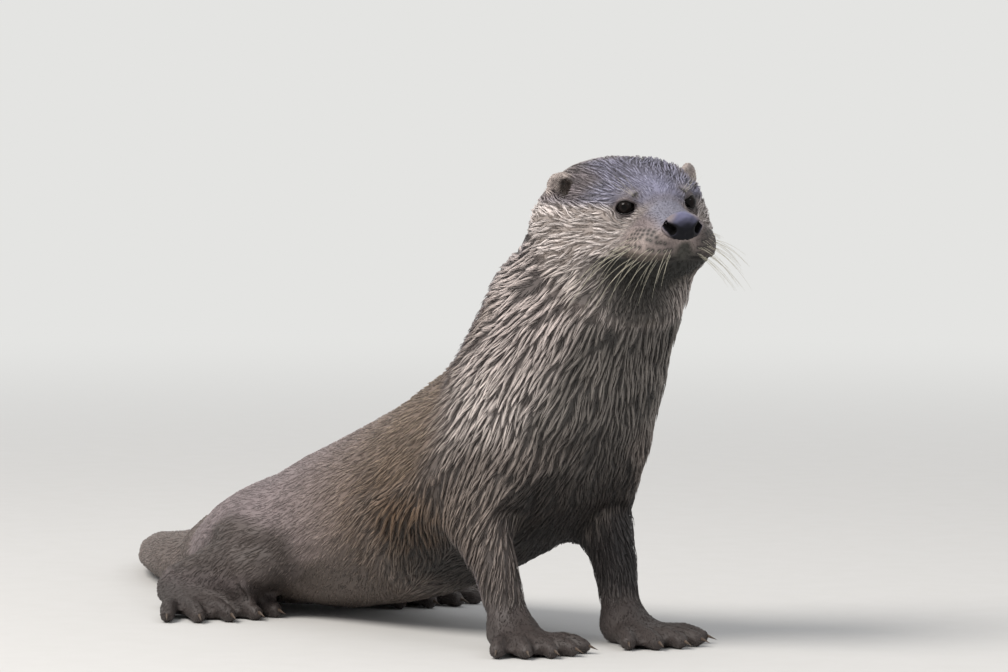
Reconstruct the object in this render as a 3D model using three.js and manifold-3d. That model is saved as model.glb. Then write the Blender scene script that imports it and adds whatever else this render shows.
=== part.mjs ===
// A life-size model of a Eurasian otter: forequarters propped up on straight forelegs, head raised and
// turned a little to its right, hindquarters crouched on the floor and the tail laid out behind.
// Millimetres, +X the way the trunk points, +Y the animal's left, +Z up. The floor is z = 0.
//
// The flesh is one field, negative inside: tapering tubes and ellipsoids run together with smooth joins.
// Each named piece is that field meshed over its own region and parted from its neighbours by thin cuts.
import * as THREE from "three";
import { SimplifyModifier } from "three/addons/modifiers/SimplifyModifier.js";
import { mergeVertices } from "three/addons/utils/BufferGeometryUtils.js";
import Module from "manifold-3d";

const wasm = await Module();
wasm.setup();

// ---------------------------------------------------------------- driving sizes
const GAP = 0.3; // left between neighbouring pieces
const SIDES = { left: 1, right: -1 };

// Stations along the trunk, from the nape to the root of the tail: where the middle of the section is, and
// its half width and half depth.
const SPINE = [
  { name: "nape", at: [66, 1, 267], half: [56, 56] },
  { name: "neck", at: [59, 0, 245], half: [57, 58] },
  { name: "low neck", at: [32, 0, 212], half: [63, 68] },
  { name: "neck base", at: [11, 0, 178], half: [69, 69] },
  { name: "shoulders", at: [-21, 0, 143], half: [70, 70] },
  { name: "chest", at: [-82, -2, 108], half: [73, 68] },
  { name: "ribs", at: [-150, -5, 83], half: [71, 66] },
  { name: "loins", at: [-220, -10, 64], half: [67, 60] },
  { name: "hips", at: [-284, -14, 50], half: [63, 49] },
  { name: "rump", at: [-336, -14, 41], half: [54, 41] },
  { name: "tail root", at: [-382, -8, 32], half: [40, 31] },
];

// The tail lies on the floor and swings to the left.
const TAIL = {
  length: 400,
  turn: THREE.MathUtils.degToRad(62), // how far it has turned at the tip
  root: [34, 27], // half width and half depth
  tip: [5, 4.5],
  lengths: 3,
};

// The head's own frame: x forward, y left, z up, from the middle of the skull at the ears, at eye height.
const HEAD = {
  eyesAt: [126, -1, 297], // the point between the two corneas
  yaw: THREE.MathUtils.degToRad(-10),
  pitch: THREE.MathUtils.degToRad(6), // nose down
  roll: THREE.MathUtils.degToRad(3), // left side up
  eyeForward: 50,
};

// Fleshy masses of the head: centre, radii, and the reach of the join to the rest.
const HEAD_MASSES = [
  { name: "cranium", centre: [0, 0, -10], radii: [50, 43.5, 33], join: 1 },
  { name: "parietal", centre: [4, 23, -4], radii: [36, 21, 23.5], join: 8, pair: true },
  { name: "forehead", centre: [30, 0, -3], radii: [32, 25.5, 20.5], join: 10 },
  { name: "temple", centre: [20, 24.5, -7], radii: [24, 16.5, 16], join: 10, pair: true },
  { name: "cheek", centre: [20, 25.5, -27], radii: [36, 22, 22], join: 12, pair: true },
  { name: "muzzle", centre: [65, 0, -14], radii: [25, 17.5, 15], join: 10 },
  { name: "whisker pad", centre: [68, 14.5, -22.5], radii: [19, 16, 14.5], join: 12, pair: true },
  { name: "lower jaw", centre: [54, 0, -35], radii: [30, 18, 11], join: 9 },
  { name: "brow", centre: [40.5, 18, 6], radii: [11, 8.5, 6], join: 7, pair: true },
];

// Each eye looks out along its axis through a shallow socket: a ball's hollow of this radius, so far from its centre.
const EYE = { radius: 6, centre: [45.2, 21.9, 0.1], axis: [0.8, 0.57, 0.15], socket: 8, socketAway: 11.2 };
// The bare pad is a dome with a smaller one on top. A nostril is a comma: a round hole at the front with a slit that
// runs up, back and outward from it, given for the left side.
const NOSE = {
  centre: [85, 0, -8.5],
  radii: [6.5, 14, 9.4],
  top: { centre: [83, 0, -6], radii: [6, 8, 6.5] },
  nostril: [
    { at: [90, 8, -10.2], half: [3, 2.8] },
    { at: [88, 10.4, -8.6], half: [2.4, 2.3] },
    { at: [85, 12, -5.4], half: [1.4, 1.4] },
  ],
};
// An ear is a disc with a cup in its face. The hollow in front of it, a ball of these radii, opens it to the front.
const EAR = {
  root: [-4, 45.5, 7],
  radii: [5, 10.5, 11],
  wall: 2.2,
  lean: THREE.MathUtils.degToRad(18),
  turn: THREE.MathUtils.degToRad(38),
  hollow: [10, 8.5, 8.5],
  hollowAhead: 8.5,
};

// Forelegs: straight props under the shoulders. y is given for the left side.
const FORELEG = [
  { name: "shoulder", at: [8, 37, 142], half: [21, 40] },
  { name: "upper arm", at: [-8, 46, 114], half: [19, 33] },
  { name: "elbow", at: [-13, 49, 86], half: [17, 26] },
  { name: "forearm", at: [4, 48, 55], half: [14.5, 17] },
  { name: "wrist", at: [15, 46, 27], half: [13.5, 13] },
  { name: "heel of the hand", at: [21, 45, 13], half: [16, 13] },
];

// Hind legs: folded, with the knee forward of the hock and the whole foot flat.
const HINDLEG = [
  { name: "hip", at: [-300, 30, 47], half: [32, 35] },
  { name: "thigh", at: [-278, 55, 43], half: [21, 33] },
  { name: "knee", at: [-256, 66, 37], half: [17, 25] },
  { name: "shank", at: [-300, 70, 28], half: [14, 17] },
  { name: "hock", at: [-342, 70, 18], half: [12, 13] },
];
const HINDLEG_Y = -13; // the hips lie this far to the right of the line of the shoulders

// A paw: a flat palm with five webbed toes fanned out from its heel.
const FOREPAW = {
  heel: [13, 45], toeRoot: 34, palmHalf: [20, 10], toe: { length: 31, half: 6.2 },
  fan: [-34, -16, 0, 16, 34], reach: [0.84, 0.98, 1.05, 1, 0.84], out: 6,
};
const HINDPAW = {
  heel: [-346, 70], toeRoot: 66, palmHalf: [19, 10], toe: { length: 52, half: 6.4 },
  fan: [-22, -11, 0, 11, 22], reach: [0.8, 0.93, 1, 0.98, 0.86], out: 12,
};
const CLAW = { length: 9, radius: 2.1, sides: 6, buried: 3.5 };

// ---------------------------------------------------------------- the field
const hypot3 = (x, y, z) => Math.sqrt(x * x + y * y + z * z);

// The lesser of two distances, run together over a reach of k.
function smoothMin(a, b, k) {
  const h = Math.max(k - Math.abs(a - b), 0) / k;
  return Math.min(a, b) - (h * h * k) / 4;
}

// About how far a point is outside an ellipsoid.
function ellipsoid([cx, cy, cz], [rx, ry, rz]) {
  return (x, y, z) => {
    const [u, v, w] = [(x - cx) / rx, (y - cy) / ry, (z - cz) / rz];
    const scaled = hypot3(u, v, w);
    const slope = hypot3(u / rx, v / ry, w / rz);
    return slope < 1e-9 ? -Math.min(rx, ry, rz) : (scaled * (scaled - 1)) / slope;
  };
}

// A tube of elliptical section through the stations, with rounded ends. Width runs along y, square to the tube.
function tube(stations, steps = 6) {
  const curve = new THREE.CatmullRomCurve3(
    stations.map((s) => new THREE.Vector3(...s.at)), false, "centripetal");
  const halves = new THREE.CatmullRomCurve3(
    stations.map((s) => new THREE.Vector3(...s.half, 0)), false, "catmullrom", 0.3);
  const count = (stations.length - 1) * steps;
  const rings = Array.from({ length: count + 1 }, (_, i) => {
    const t = i / count;
    const along = curve.getTangent(t);
    const across = new THREE.Vector3(0, 1, 0).addScaledVector(along, -along.y).normalize();
    const over = new THREE.Vector3().crossVectors(along, across);
    const half = halves.getPoint(t);
    return { at: curve.getPoint(t), along, across, over, w: half.x, h: half.y };
  });
  return (x, y, z) => {
    let best = null;
    let least = Infinity;
    for (let i = 0; i < count; i++) {
      const a = rings[i].at;
      const b = rings[i + 1].at;
      const [ex, ey, ez] = [b.x - a.x, b.y - a.y, b.z - a.z];
      const [px, py, pz] = [x - a.x, y - a.y, z - a.z];
      const raw = (px * ex + py * ey + pz * ez) / (ex * ex + ey * ey + ez * ez);
      const t = Math.min(1, Math.max(0, raw));
      const d = hypot3(px - t * ex, py - t * ey, pz - t * ez);
      if (d < least) {
        least = d;
        best = { i, t };
      }
    }
    const [p, q, t] = [rings[best.i], rings[best.i + 1], best.t];
    const mix = (f) => f(p) * (1 - t) + f(q) * t;
    const [dx, dy, dz] = [x - mix((r) => r.at.x), y - mix((r) => r.at.y), z - mix((r) => r.at.z)];
    const dot = (axis) => mix((r) => dx * r[axis].x + dy * r[axis].y + dz * r[axis].z);
    const [w, h] = [mix((r) => r.w), mix((r) => r.h)];
    return ellipsoid([0, 0, 0], [Math.min(w, h), w, h])(dot("along"), dot("across"), dot("over"));
  };
}

// Several fields run together, each over its own reach.
function together(fields, reach) {
  return (x, y, z) => fields.reduce((d, f) => smoothMin(d, f(x, y, z), reach), 1e3);
}

const mirrored = (stations, side, shift = 0) =>
  stations.map((s) => ({ ...s, at: [s.at[0], s.at[1] * side + shift, s.at[2]] }));

// The head's masses, in the head's own frame.
const headToBody = new THREE.Matrix4()
  .makeTranslation(...HEAD.eyesAt)
  .multiply(new THREE.Matrix4().makeRotationFromEuler(new THREE.Euler(HEAD.roll, HEAD.pitch, HEAD.yaw, "ZYX")))
  .multiply(new THREE.Matrix4().makeTranslation(-HEAD.eyeForward, 0, 0));
const bodyToHead = headToBody.clone().invert().elements;

const headMasses = HEAD_MASSES.flatMap(({ centre: [x, y, z], radii, join, pair }) =>
  (pair ? [y, -y] : [y]).map((at) => ({ field: ellipsoid([x, at, z], radii), join })));

function headField(x, y, z) {
  const m = bodyToHead;
  const [hx, hy, hz] = [0, 1, 2].map((r) => m[r] * x + m[4 + r] * y + m[8 + r] * z + m[12 + r]);
  return headMasses.reduce((d, mass) => smoothMin(d, mass.field(hx, hy, hz), mass.join), 1e3);
}

// The tail's stations lie on an arc that starts in line with the rump.
function tailStations() {
  const start = SPINE.at(-1).at;
  const count = 9;
  const at = [start[0], start[1]];
  const stations = [{ at: [...start], half: SPINE.at(-1).half }];
  for (let i = 1; i <= count; i++) {
    const t = i / count;
    const heading = Math.PI - TAIL.turn * ((i - 0.5) / count);
    at[0] += (Math.cos(heading) * TAIL.length) / count;
    at[1] += (Math.sin(heading) * TAIL.length) / count;
    const half = [0, 1].map((k) => THREE.MathUtils.lerp(TAIL.root[k], TAIL.tip[k], t ** 0.92));
    stations.push({ at: [at[0], at[1], half[1] - 0.8], half });
  }
  return stations;
}

// A paw's palm and its toes, and where each toe ends and points.
function pawOf(paw, side, shift) {
  const heel = new THREE.Vector2(paw.heel[0], paw.heel[1] * side + shift);
  const ray = (degrees, distance) => {
    const angle = THREE.MathUtils.degToRad((degrees + paw.out) * side);
    return [heel.x + Math.cos(angle) * distance, heel.y + Math.sin(angle) * distance];
  };
  const [palmWidth, palmDepth] = paw.palmHalf;
  const palm = tube([
    { at: [...ray(0, 4), palmDepth + 1], half: [palmWidth * 0.72, palmDepth + 2] },
    { at: [...ray(0, paw.toeRoot * 0.6), palmDepth - 1], half: [palmWidth * 0.95, palmDepth] },
    { at: [...ray(0, paw.toeRoot), 6.5], half: [palmWidth, 7.5] },
  ]);
  const toes = paw.fan.map((degrees, i) => {
    const reach = paw.toe.length * paw.reach[i];
    const half = paw.toe.half;
    const root = ray(degrees, paw.toeRoot * 0.92);
    const knuckle = ray(degrees, paw.toeRoot + reach * 0.5);
    const tip = ray(degrees, paw.toeRoot + reach * 0.93);
    return {
      field: tube([
        { at: [...root, 7], half: [half, half] },
        { at: [...knuckle, 8], half: [half * 0.95, half] },
        { at: [...tip, 5], half: [half * 0.86, half * 0.9] },
      ], 4),
      tip: [...ray(degrees, paw.toeRoot + reach), 6.2],
      heading: THREE.MathUtils.degToRad((degrees + paw.out) * side),
    };
  });
  const web = tube([
    { at: [...ray(0, paw.toeRoot * 0.9), 5], half: [palmWidth, 4] },
    { at: [...ray(0, paw.toeRoot + paw.toe.length * 0.55), 4], half: [palmWidth * 1.22, 2.6] },
  ]);
  return { field: together([palm, ...toes.map((t) => t.field), web], 4), toes };
}

const torso = tube(SPINE);
const tail = tube(tailStations());
const limbs = Object.entries(SIDES).flatMap(([name, side]) => [
  { kind: "fore", name, side, leg: tube(mirrored(FORELEG, side)), paw: pawOf(FOREPAW, side, 0) },
  { kind: "hind", name, side, leg: tube(mirrored(HINDLEG, side, HINDLEG_Y)), paw: pawOf(HINDPAW, side, HINDLEG_Y) },
]);

// The whole animal, with only the limbs that reach the region at hand.
function flesh(withLimbs, { head = false, tailToo = false } = {}) {
  return (x, y, z) => {
    let d = torso(x, y, z);
    if (head) d = smoothMin(d, headField(x, y, z), 16);
    if (tailToo) d = smoothMin(d, tail(x, y, z), 10);
    for (const limb of withLimbs) {
      const leg = smoothMin(limb.leg(x, y, z), limb.paw.field(x, y, z), 9);
      d = smoothMin(d, leg, limb.kind === "fore" ? 20 : 16);
    }
    return d;
  };
}

// ---------------------------------------------------------------- from field to mesh
// Surface nets: one vertex in each cell that the surface crosses, drawn on to the surface, and one quad round
// each grid edge that it crosses. The mesh is then thinned to a share of its triangles, most where it is flattest.
async function meshed(field, { low, high, cell, keep }) {
  const count = [0, 1, 2].map((k) => Math.ceil((high[k] - low[k]) / cell) + 1);
  const [nx, ny, nz] = count;
  const index = (i, j, k) => (k * ny + j) * nx + i;
  const values = new Float32Array(nx * ny * nz);
  for (let k = 0; k < nz; k++)
    for (let j = 0; j < ny; j++)
      for (let i = 0; i < nx; i++)
        values[index(i, j, k)] = [i, j, k].some((v, m) => v < 2 || v > count[m] - 3)
          ? cell // the outer layers are empty, so that the mesh closes inside its box
          : field(low[0] + i * cell, low[1] + j * cell, low[2] + k * cell);
  const corners = [0, 1, 2, 3, 4, 5, 6, 7].map((c) => [c & 1, (c >> 1) & 1, c >> 2]);
  const edges = corners.flatMap((a, i) =>
    corners.map((b, j) => [i, j, a, b]).filter(([, j, , b]) => j > i && a[0] + a[1] + a[2] + 1 === b[0] + b[1] + b[2]
      && a.every((v, k) => v <= b[k])));
  const vertexOf = new Map();
  const positions = [];
  for (let k = 0; k < nz - 1; k++)
    for (let j = 0; j < ny - 1; j++)
      for (let i = 0; i < nx - 1; i++) {
        const sum = [0, 0, 0];
        let crossings = 0;
        for (const [, , a, b] of edges) {
          const va = values[index(i + a[0], j + a[1], k + a[2])];
          const vb = values[index(i + b[0], j + b[1], k + b[2])];
          if (va < 0 === vb < 0) continue;
          const t = va / (va - vb);
          for (let m = 0; m < 3; m++) sum[m] += a[m] + (b[m] - a[m]) * t;
          crossings++;
        }
        if (!crossings) continue;
        const p = [i, j, k].map((v, m) => low[m] + (v + sum[m] / crossings) * cell);
        vertexOf.set(index(i, j, k), positions.length / 3);
        positions.push(...ontoSurface(field, p, cell));
      }
  const faces = [];
  const steps = [[1, 0, 0], [0, 1, 0], [0, 0, 1]];
  for (let k = 1; k < nz - 1; k++)
    for (let j = 1; j < ny - 1; j++)
      for (let i = 1; i < nx - 1; i++)
        steps.forEach(([di, dj, dk], axis) => {
          const inside = values[index(i, j, k)] < 0;
          if (inside === values[index(i + di, j + dj, k + dk)] < 0) return;
          const [u, v] = [steps[(axis + 1) % 3], steps[(axis + 2) % 3]];
          const at = (a, b) => vertexOf.get(
            index(i - a * u[0] - b * v[0], j - a * u[1] - b * v[1], k - a * u[2] - b * v[2]));
          const quad = [at(1, 1), at(0, 1), at(0, 0), at(1, 0)];
          if (!inside) quad.reverse();
          faces.push(quad[0], quad[1], quad[2], quad[0], quad[2], quad[3]);
        });
  const geometry = new THREE.BufferGeometry();
  geometry.setAttribute("position", new THREE.Float32BufferAttribute(positions, 3));
  geometry.setIndex(faces);
  return new SimplifyModifier().modify(geometry, Math.floor((1 - keep) * (positions.length / 3)));
}

// A point moved on to the surface down the field's own slope, by less than half a cell.
function ontoSurface(field, p, cell) {
  const q = [...p];
  for (let pass = 0; pass < 3; pass++) {
    const d = field(...q);
    const step = 0.2;
    const slope = [0, 1, 2].map((k) => {
      const ahead = [...q];
      ahead[k] += step;
      return (field(...ahead) - d) / step;
    });
    const square = slope.reduce((s, g) => s + g * g, 1e-6);
    const most = cell * 0.4;
    for (let k = 0; k < 3; k++)
      q[k] = Math.min(p[k] + most, Math.max(p[k] - most, q[k] - (d * slope[k]) / square));
  }
  return q;
}

// ---------------------------------------------------------------- cuts
function solid(geometry, matrix) {
  const bare = geometry.clone();
  for (const name of Object.keys(bare.attributes)) if (name !== "position") bare.deleteAttribute(name);
  if (matrix) bare.applyMatrix4(matrix);
  const merged = mergeVertices(bare.index ? bare.toNonIndexed() : bare, 1e-3);
  return new wasm.Manifold(new wasm.Mesh({
    numProp: 3,
    vertProperties: merged.attributes.position.array,
    triVerts: new Uint32Array(merged.index.array),
  }));
}

const FLAT = 0.03; // a vertex this close to the line of its neighbours goes
function geometryOf(manifold) {
  const largest = manifold.decompose().sort((a, b) => b.volume() - a.volume())[0];
  const mesh = largest.asOriginal().simplify(FLAT).getMesh();
  const geometry = new THREE.BufferGeometry();
  geometry.setAttribute("position", new THREE.BufferAttribute(new Float32Array(mesh.vertProperties), 3));
  geometry.setIndex(new THREE.BufferAttribute(new Uint32Array(mesh.triVerts), 1));
  geometry.computeVertexNormals();
  return geometry;
}

// A block with one face through a point, that face looking along a direction, and all the rest behind it.
const BLOCK = 1500;
function block(through, facing) {
  const direction = new THREE.Vector3(...facing).normalize();
  const matrix = new THREE.Matrix4().compose(
    new THREE.Vector3(...through).addScaledVector(direction, -BLOCK / 2),
    new THREE.Quaternion().setFromUnitVectors(new THREE.Vector3(1, 0, 0), direction),
    new THREE.Vector3(1, 1, 1));
  return solid(new THREE.BoxGeometry(BLOCK, BLOCK, BLOCK), matrix);
}

const underfloor = block([0, 0, 0], [0, 0, 1]);

// Planes across the animal, each given by a point and the way towards the tail or the foot.
const CUTS = {
  head: { through: [66, 0, 262], facing: [-0.72, 0, -0.7] },
  neck: { through: [10, 0, 187], facing: [-0.66, 0, -0.75] },
  waist: { through: [-185, -8, 74], facing: [-1, -0.05, -0.2] },
  rump: { through: [-372, -9, 24], facing: [-1, 0.1, -0.1] },
};

// The two sides of a cut, with half the gap taken from each.
function beyond({ through, facing }) {
  const way = new THREE.Vector3(...facing).normalize().multiplyScalar(GAP / 2);
  const at = (sign) => through.map((v, k) => v + sign * way.getComponent(k));
  return {
    headward: block(at(-1), facing),
    tailward: block(at(1), facing.map((v) => -v)),
  };
}
const cut = Object.fromEntries(Object.entries(CUTS).map(([name, plane]) => [name, beyond(plane)]));

// The wedge of space that a leg has to itself, grown by a margin.
const LEG_ROOM = {
  fore: { x: [-52, 90], inner: [24, 60], outer: [84, 138], shift: 0, wrist: 31 },
  hind: { x: [-368, -206], inner: [39, 0], outer: [74, 86], shift: HINDLEG_Y, wrist: 25 },
};
function legRoom({ kind, side }, margin) {
  const { x, inner, outer, shift } = LEG_ROOM[kind];
  const slope = [outer[1] - inner[1], -(outer[0] - inner[0])];
  const size = Math.hypot(...slope);
  const facing = [0, (-slope[0] / size) * side, -slope[1] / size];
  const through = [0, inner[0] * side + shift, inner[1]];
  const inset = through.map((v, k) => v + facing[k] * margin);
  return block(inset, facing)
    .intersect(block([x[0] - margin, 0, 0], [-1, 0, 0]))
    .intersect(block([x[1] + margin, 0, 0], [1, 0, 0]));
}

// ---------------------------------------------------------------- materials
const material = (color, roughness) => new THREE.MeshStandardMaterial({ color, roughness, metalness: 0 });
const COAT = material(0x6b5a4e, 0.75);
const PALE_COAT = material(0x8d7d70, 0.75);
const BARE_SKIN = material(0x2e2a2b, 0.45);
const CORNEA = material(0x120c09, 0.08);
const HORN = material(0x4a4038, 0.4);

const otter = new THREE.Group();
function add(name, geometry, look, parent = otter) {
  const mesh = new THREE.Mesh(geometry, look);
  mesh.name = name;
  parent.add(mesh);
  return mesh;
}

// ---------------------------------------------------------------- trunk, neck and tail
const limbsOf = (kind) => limbs.filter((limb) => limb.kind === kind);
const lessLegs = (body, kind) =>
  limbsOf(kind).reduce((rest, limb) => rest.subtract(legRoom(limb, GAP)), body).subtract(underfloor);

// The box that each stretch is meshed in, the size of its cells and the share of its triangles that is kept.
const STRETCH = {
  head: { low: [20, -88, 215], high: [205, 88, 350], cell: 3.55, keep: 0.111 },
  neck: { low: [-110, -92, 120], high: [150, 92, 345], cell: 7, keep: 0.146 },
  chest: { low: [-225, -115, -30], high: [120, 115, 265], cell: 7.5, keep: 0.14 },
  loins: { low: [-440, -125, -30], high: [-145, 95, 180], cell: 7.5, keep: 0.14 },
  tail: { low: [-730, -80, -30], high: [-350, 300, 100], cell: 5.5, keep: 0.063 },
};

const neckFlesh = solid(await meshed(flesh(limbsOf("fore"), { head: true }), STRETCH.neck));
add("neck", geometryOf(neckFlesh.intersect(cut.head.tailward).intersect(cut.neck.headward)), PALE_COAT);

const chestFlesh = solid(await meshed(flesh(limbsOf("fore")), STRETCH.chest));
add("chest", geometryOf(lessLegs(chestFlesh.intersect(cut.neck.tailward).intersect(cut.waist.headward), "fore")), COAT);

const loinFlesh = solid(await meshed(flesh(limbsOf("hind"), { tailToo: true }), STRETCH.loins));
add("loins", geometryOf(lessLegs(loinFlesh.intersect(cut.waist.tailward).intersect(cut.rump.headward), "hind")), COAT);

// The tail is parted square to its own line.
const tailLine = tailStations();
const tailFlesh = solid(await meshed(flesh([], { tailToo: true }), STRETCH.tail)).subtract(underfloor);
const tailNames = ["tail_root", "tail_middle", "tail_tip"];
const tailCuts = tailNames.slice(1).map((_, i) => {
  const station = ((i + 1) * (tailLine.length - 1)) / TAIL.lengths;
  const [a, b] = [tailLine[station - 1].at, tailLine[station + 1].at];
  return beyond({ through: tailLine[station].at, facing: [b[0] - a[0], b[1] - a[1], 0] });
});
tailNames.forEach((name, i) => {
  let length = tailFlesh.intersect(i === 0 ? cut.rump.tailward : tailCuts[i - 1].tailward);
  if (i < tailCuts.length) length = length.intersect(tailCuts[i].headward);
  add(name, geometryOf(length), COAT);
});

// ---------------------------------------------------------------- legs, paws and claws
// A claw: a cone bent down towards its point, along +X from its root.
function clawGeometry() {
  const { length, radius, sides, buried } = CLAW;
  const whole = length + buried;
  const cone = new THREE.ConeGeometry(radius, whole, sides, 2).rotateZ(-Math.PI / 2);
  const at = cone.getAttribute("position");
  for (let i = 0; i < at.count; i++) {
    const t = (at.getX(i) + whole / 2) / whole;
    at.setXYZ(i, at.getX(i) + whole / 2 - buried, at.getY(i) * 0.8, at.getZ(i) - 3.2 * t * t);
  }
  return cone;
}

// A shape with its surface moved out by a margin.
function grown(geometry, margin) {
  const bare = new THREE.BufferGeometry().setAttribute("position", geometry.getAttribute("position"));
  const merged = mergeVertices(geometry.index ? bare.setIndex(geometry.index).toNonIndexed() : bare, 1e-3);
  merged.computeVertexNormals();
  const [at, normal] = [merged.getAttribute("position"), merged.getAttribute("normal")];
  for (let i = 0; i < at.count; i++)
    at.setXYZ(i, at.getX(i) + normal.getX(i) * margin, at.getY(i) + normal.getY(i) * margin,
      at.getZ(i) + normal.getZ(i) * margin);
  return merged;
}

const LEG_BOX = {
  fore: { low: [-80, 0, -30], high: [115, 116, 170], cell: 5, keep: 0.13 },
  hind: { low: [-405, -10, -30], high: [-180, 112, 110], cell: 5, keep: 0.13 },
};
const PAW_BOX = {
  fore: { low: [-26, 2, -15], high: [107, 97, 44], cell: 2.7, keep: 0.09 },
  hind: { low: [-376, 20, -14], high: [-199, 146, 38], cell: 2.6, keep: 0.0495 },
};
// A box given for the left side, on the limb's own side.
function boxOn({ low, high, ...rest }, { side, kind }) {
  const shift = LEG_ROOM[kind].shift;
  const y = [low[1] * side + shift, high[1] * side + shift].sort((a, b) => a - b);
  return { low: [low[0], y[0], low[2]], high: [high[0], y[1], high[2]], ...rest };
}

for (const limb of limbs) {
  const { kind, name } = limb;
  const room = legRoom(limb, 0).intersect(cut.neck.tailward).subtract(underfloor);
  const { wrist } = LEG_ROOM[kind];
  const ankle = beyond({ through: [0, 0, wrist], facing: [0, 0, -1] });
  const field = flesh([limb]);
  const leg = solid(await meshed(field, boxOn(LEG_BOX[kind], limb))).intersect(room).intersect(ankle.headward);
  add(`${kind}leg_${name}`, geometryOf(leg), COAT);
  let paw = solid(await meshed(field, boxOn(PAW_BOX[kind], limb))).intersect(room).intersect(ankle.tailward);
  limb.paw.toes.forEach((toe, i) => {
    const claw = add(`claw_${kind}_${name}_${i + 1}`, clawGeometry(), HORN);
    claw.position.set(...toe.tip);
    claw.rotation.z = toe.heading;
    claw.updateMatrix();
    paw = paw.subtract(solid(grown(claw.geometry, GAP), claw.matrix));
  });
  add(`${kind}paw_${name}`, geometryOf(paw), COAT);
}

// ---------------------------------------------------------------- head
const headGroup = new THREE.Group();
headGroup.applyMatrix4(headToBody);
otter.add(headGroup);

const eyeBall = new THREE.SphereGeometry(EYE.radius, 12, 8);
const besideNose = ([x, y, z], side) => new THREE.Vector3(x, y * side, z);
const eyes = Object.entries(SIDES).map(([name, side]) => {
  const eye = add(`eye_${name}`, eyeBall, CORNEA, headGroup);
  eye.position.copy(besideNose(EYE.centre, side));
  return eye;
});
const sockets = Object.values(SIDES).map((side) => {
  const at = besideNose(EYE.centre, side).addScaledVector(besideNose(EYE.axis, side).normalize(), EYE.socketAway);
  const place = headToBody.clone().multiply(new THREE.Matrix4().setPosition(at));
  return solid(new THREE.SphereGeometry(EYE.socket, 10, 7), place);
});

// The bare pad, pierced by its nostrils.
const nosePad = together([ellipsoid(NOSE.centre, NOSE.radii), ellipsoid(NOSE.top.centre, NOSE.top.radii)], 4);
const nostrils = Object.values(SIDES).map((side) => tube(mirrored(NOSE.nostril, side), 4));
const pierced = (x, y, z) => nostrils.reduce((d, hole) => -smoothMin(-d, hole(x, y, z), 1.6), nosePad(x, y, z));
const NOSE_BOX = { low: [72, -22, -32], high: [103, 22, 8], cell: 1.4, keep: 0.14 };
const nose = add("nose", geometryOf(solid(await meshed(pierced, NOSE_BOX))), BARE_SKIN, headGroup);
const noseRoom = await meshed((x, y, z) => nosePad(x, y, z) - 2 * GAP, NOSE_BOX);

headGroup.updateMatrixWorld(true);
function earPlace(side) {
  const turn = new THREE.Matrix4().makeRotationFromEuler(new THREE.Euler(-EAR.lean * side, 0, EAR.turn * side, "ZYX"));
  const [x, y, z] = EAR.root;
  return new THREE.Matrix4().makeTranslation(x, y * side, z).multiply(turn);
}

function earHollow(side) {
  const ball = new THREE.SphereGeometry(1, 12, 8).scale(...EAR.hollow).translate(EAR.hollowAhead, 0, 0);
  return ball.applyMatrix4(earPlace(side));
}

const headFlesh = solid(await meshed(flesh(limbsOf("fore"), { head: true }), STRETCH.head));
let head = sockets.reduce((rest, socket) => rest.subtract(socket), headFlesh.intersect(cut.head.headward));
for (const eye of eyes) head = head.subtract(solid(grown(eye.geometry, GAP), eye.matrixWorld));
head = head.subtract(solid(noseRoom, nose.matrixWorld));
for (const side of Object.values(SIDES)) head = head.subtract(solid(earHollow(side), headToBody));
const headGeometry = geometryOf(head);
add("head", headGeometry, PALE_COAT);

// A rounded ear, cupped on the side that looks forward and outward.
const EAR_BOX = { low: [-9, -15, -15], high: [9, 15, 15], cell: 1.55, keep: 0.14 };
async function earGeometry(side) {
  const [thick, wide, tall] = EAR.radii;
  const shell = ellipsoid([0, 0, 0], [thick, wide, tall]);
  const cup = ellipsoid([thick, 0, 0], [thick * 1.15, wide - EAR.wall, tall - EAR.wall]);
  const field = (x, y, z) => -smoothMin(-shell(x, y, z), cup(x, y, z), 1.5);
  const ear = await meshed(field, EAR_BOX);
  return ear.applyMatrix4(earPlace(side));
}
const headGrown = solid(grown(headGeometry, GAP));
for (const [name, side] of Object.entries(SIDES))
  add(`ear_${name}`, geometryOf(solid(await earGeometry(side), headToBody).subtract(headGrown)), COAT);

// ---------------------------------------------------------------- the part's own frame
// Its origin is on the floor, under the middle of the whole animal.
otter.updateMatrixWorld(true);
const extent = new THREE.Box3().setFromObject(otter, true);
const middle = extent.getCenter(new THREE.Vector3());
otter.position.set(-middle.x, -middle.y, -extent.min.z);

export default otter;
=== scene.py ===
import heapq
import math

import bmesh
import bpy
import numpy as np
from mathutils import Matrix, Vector
from mathutils.bvhtree import BVHTree
from mathutils.kdtree import KDTree


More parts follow.
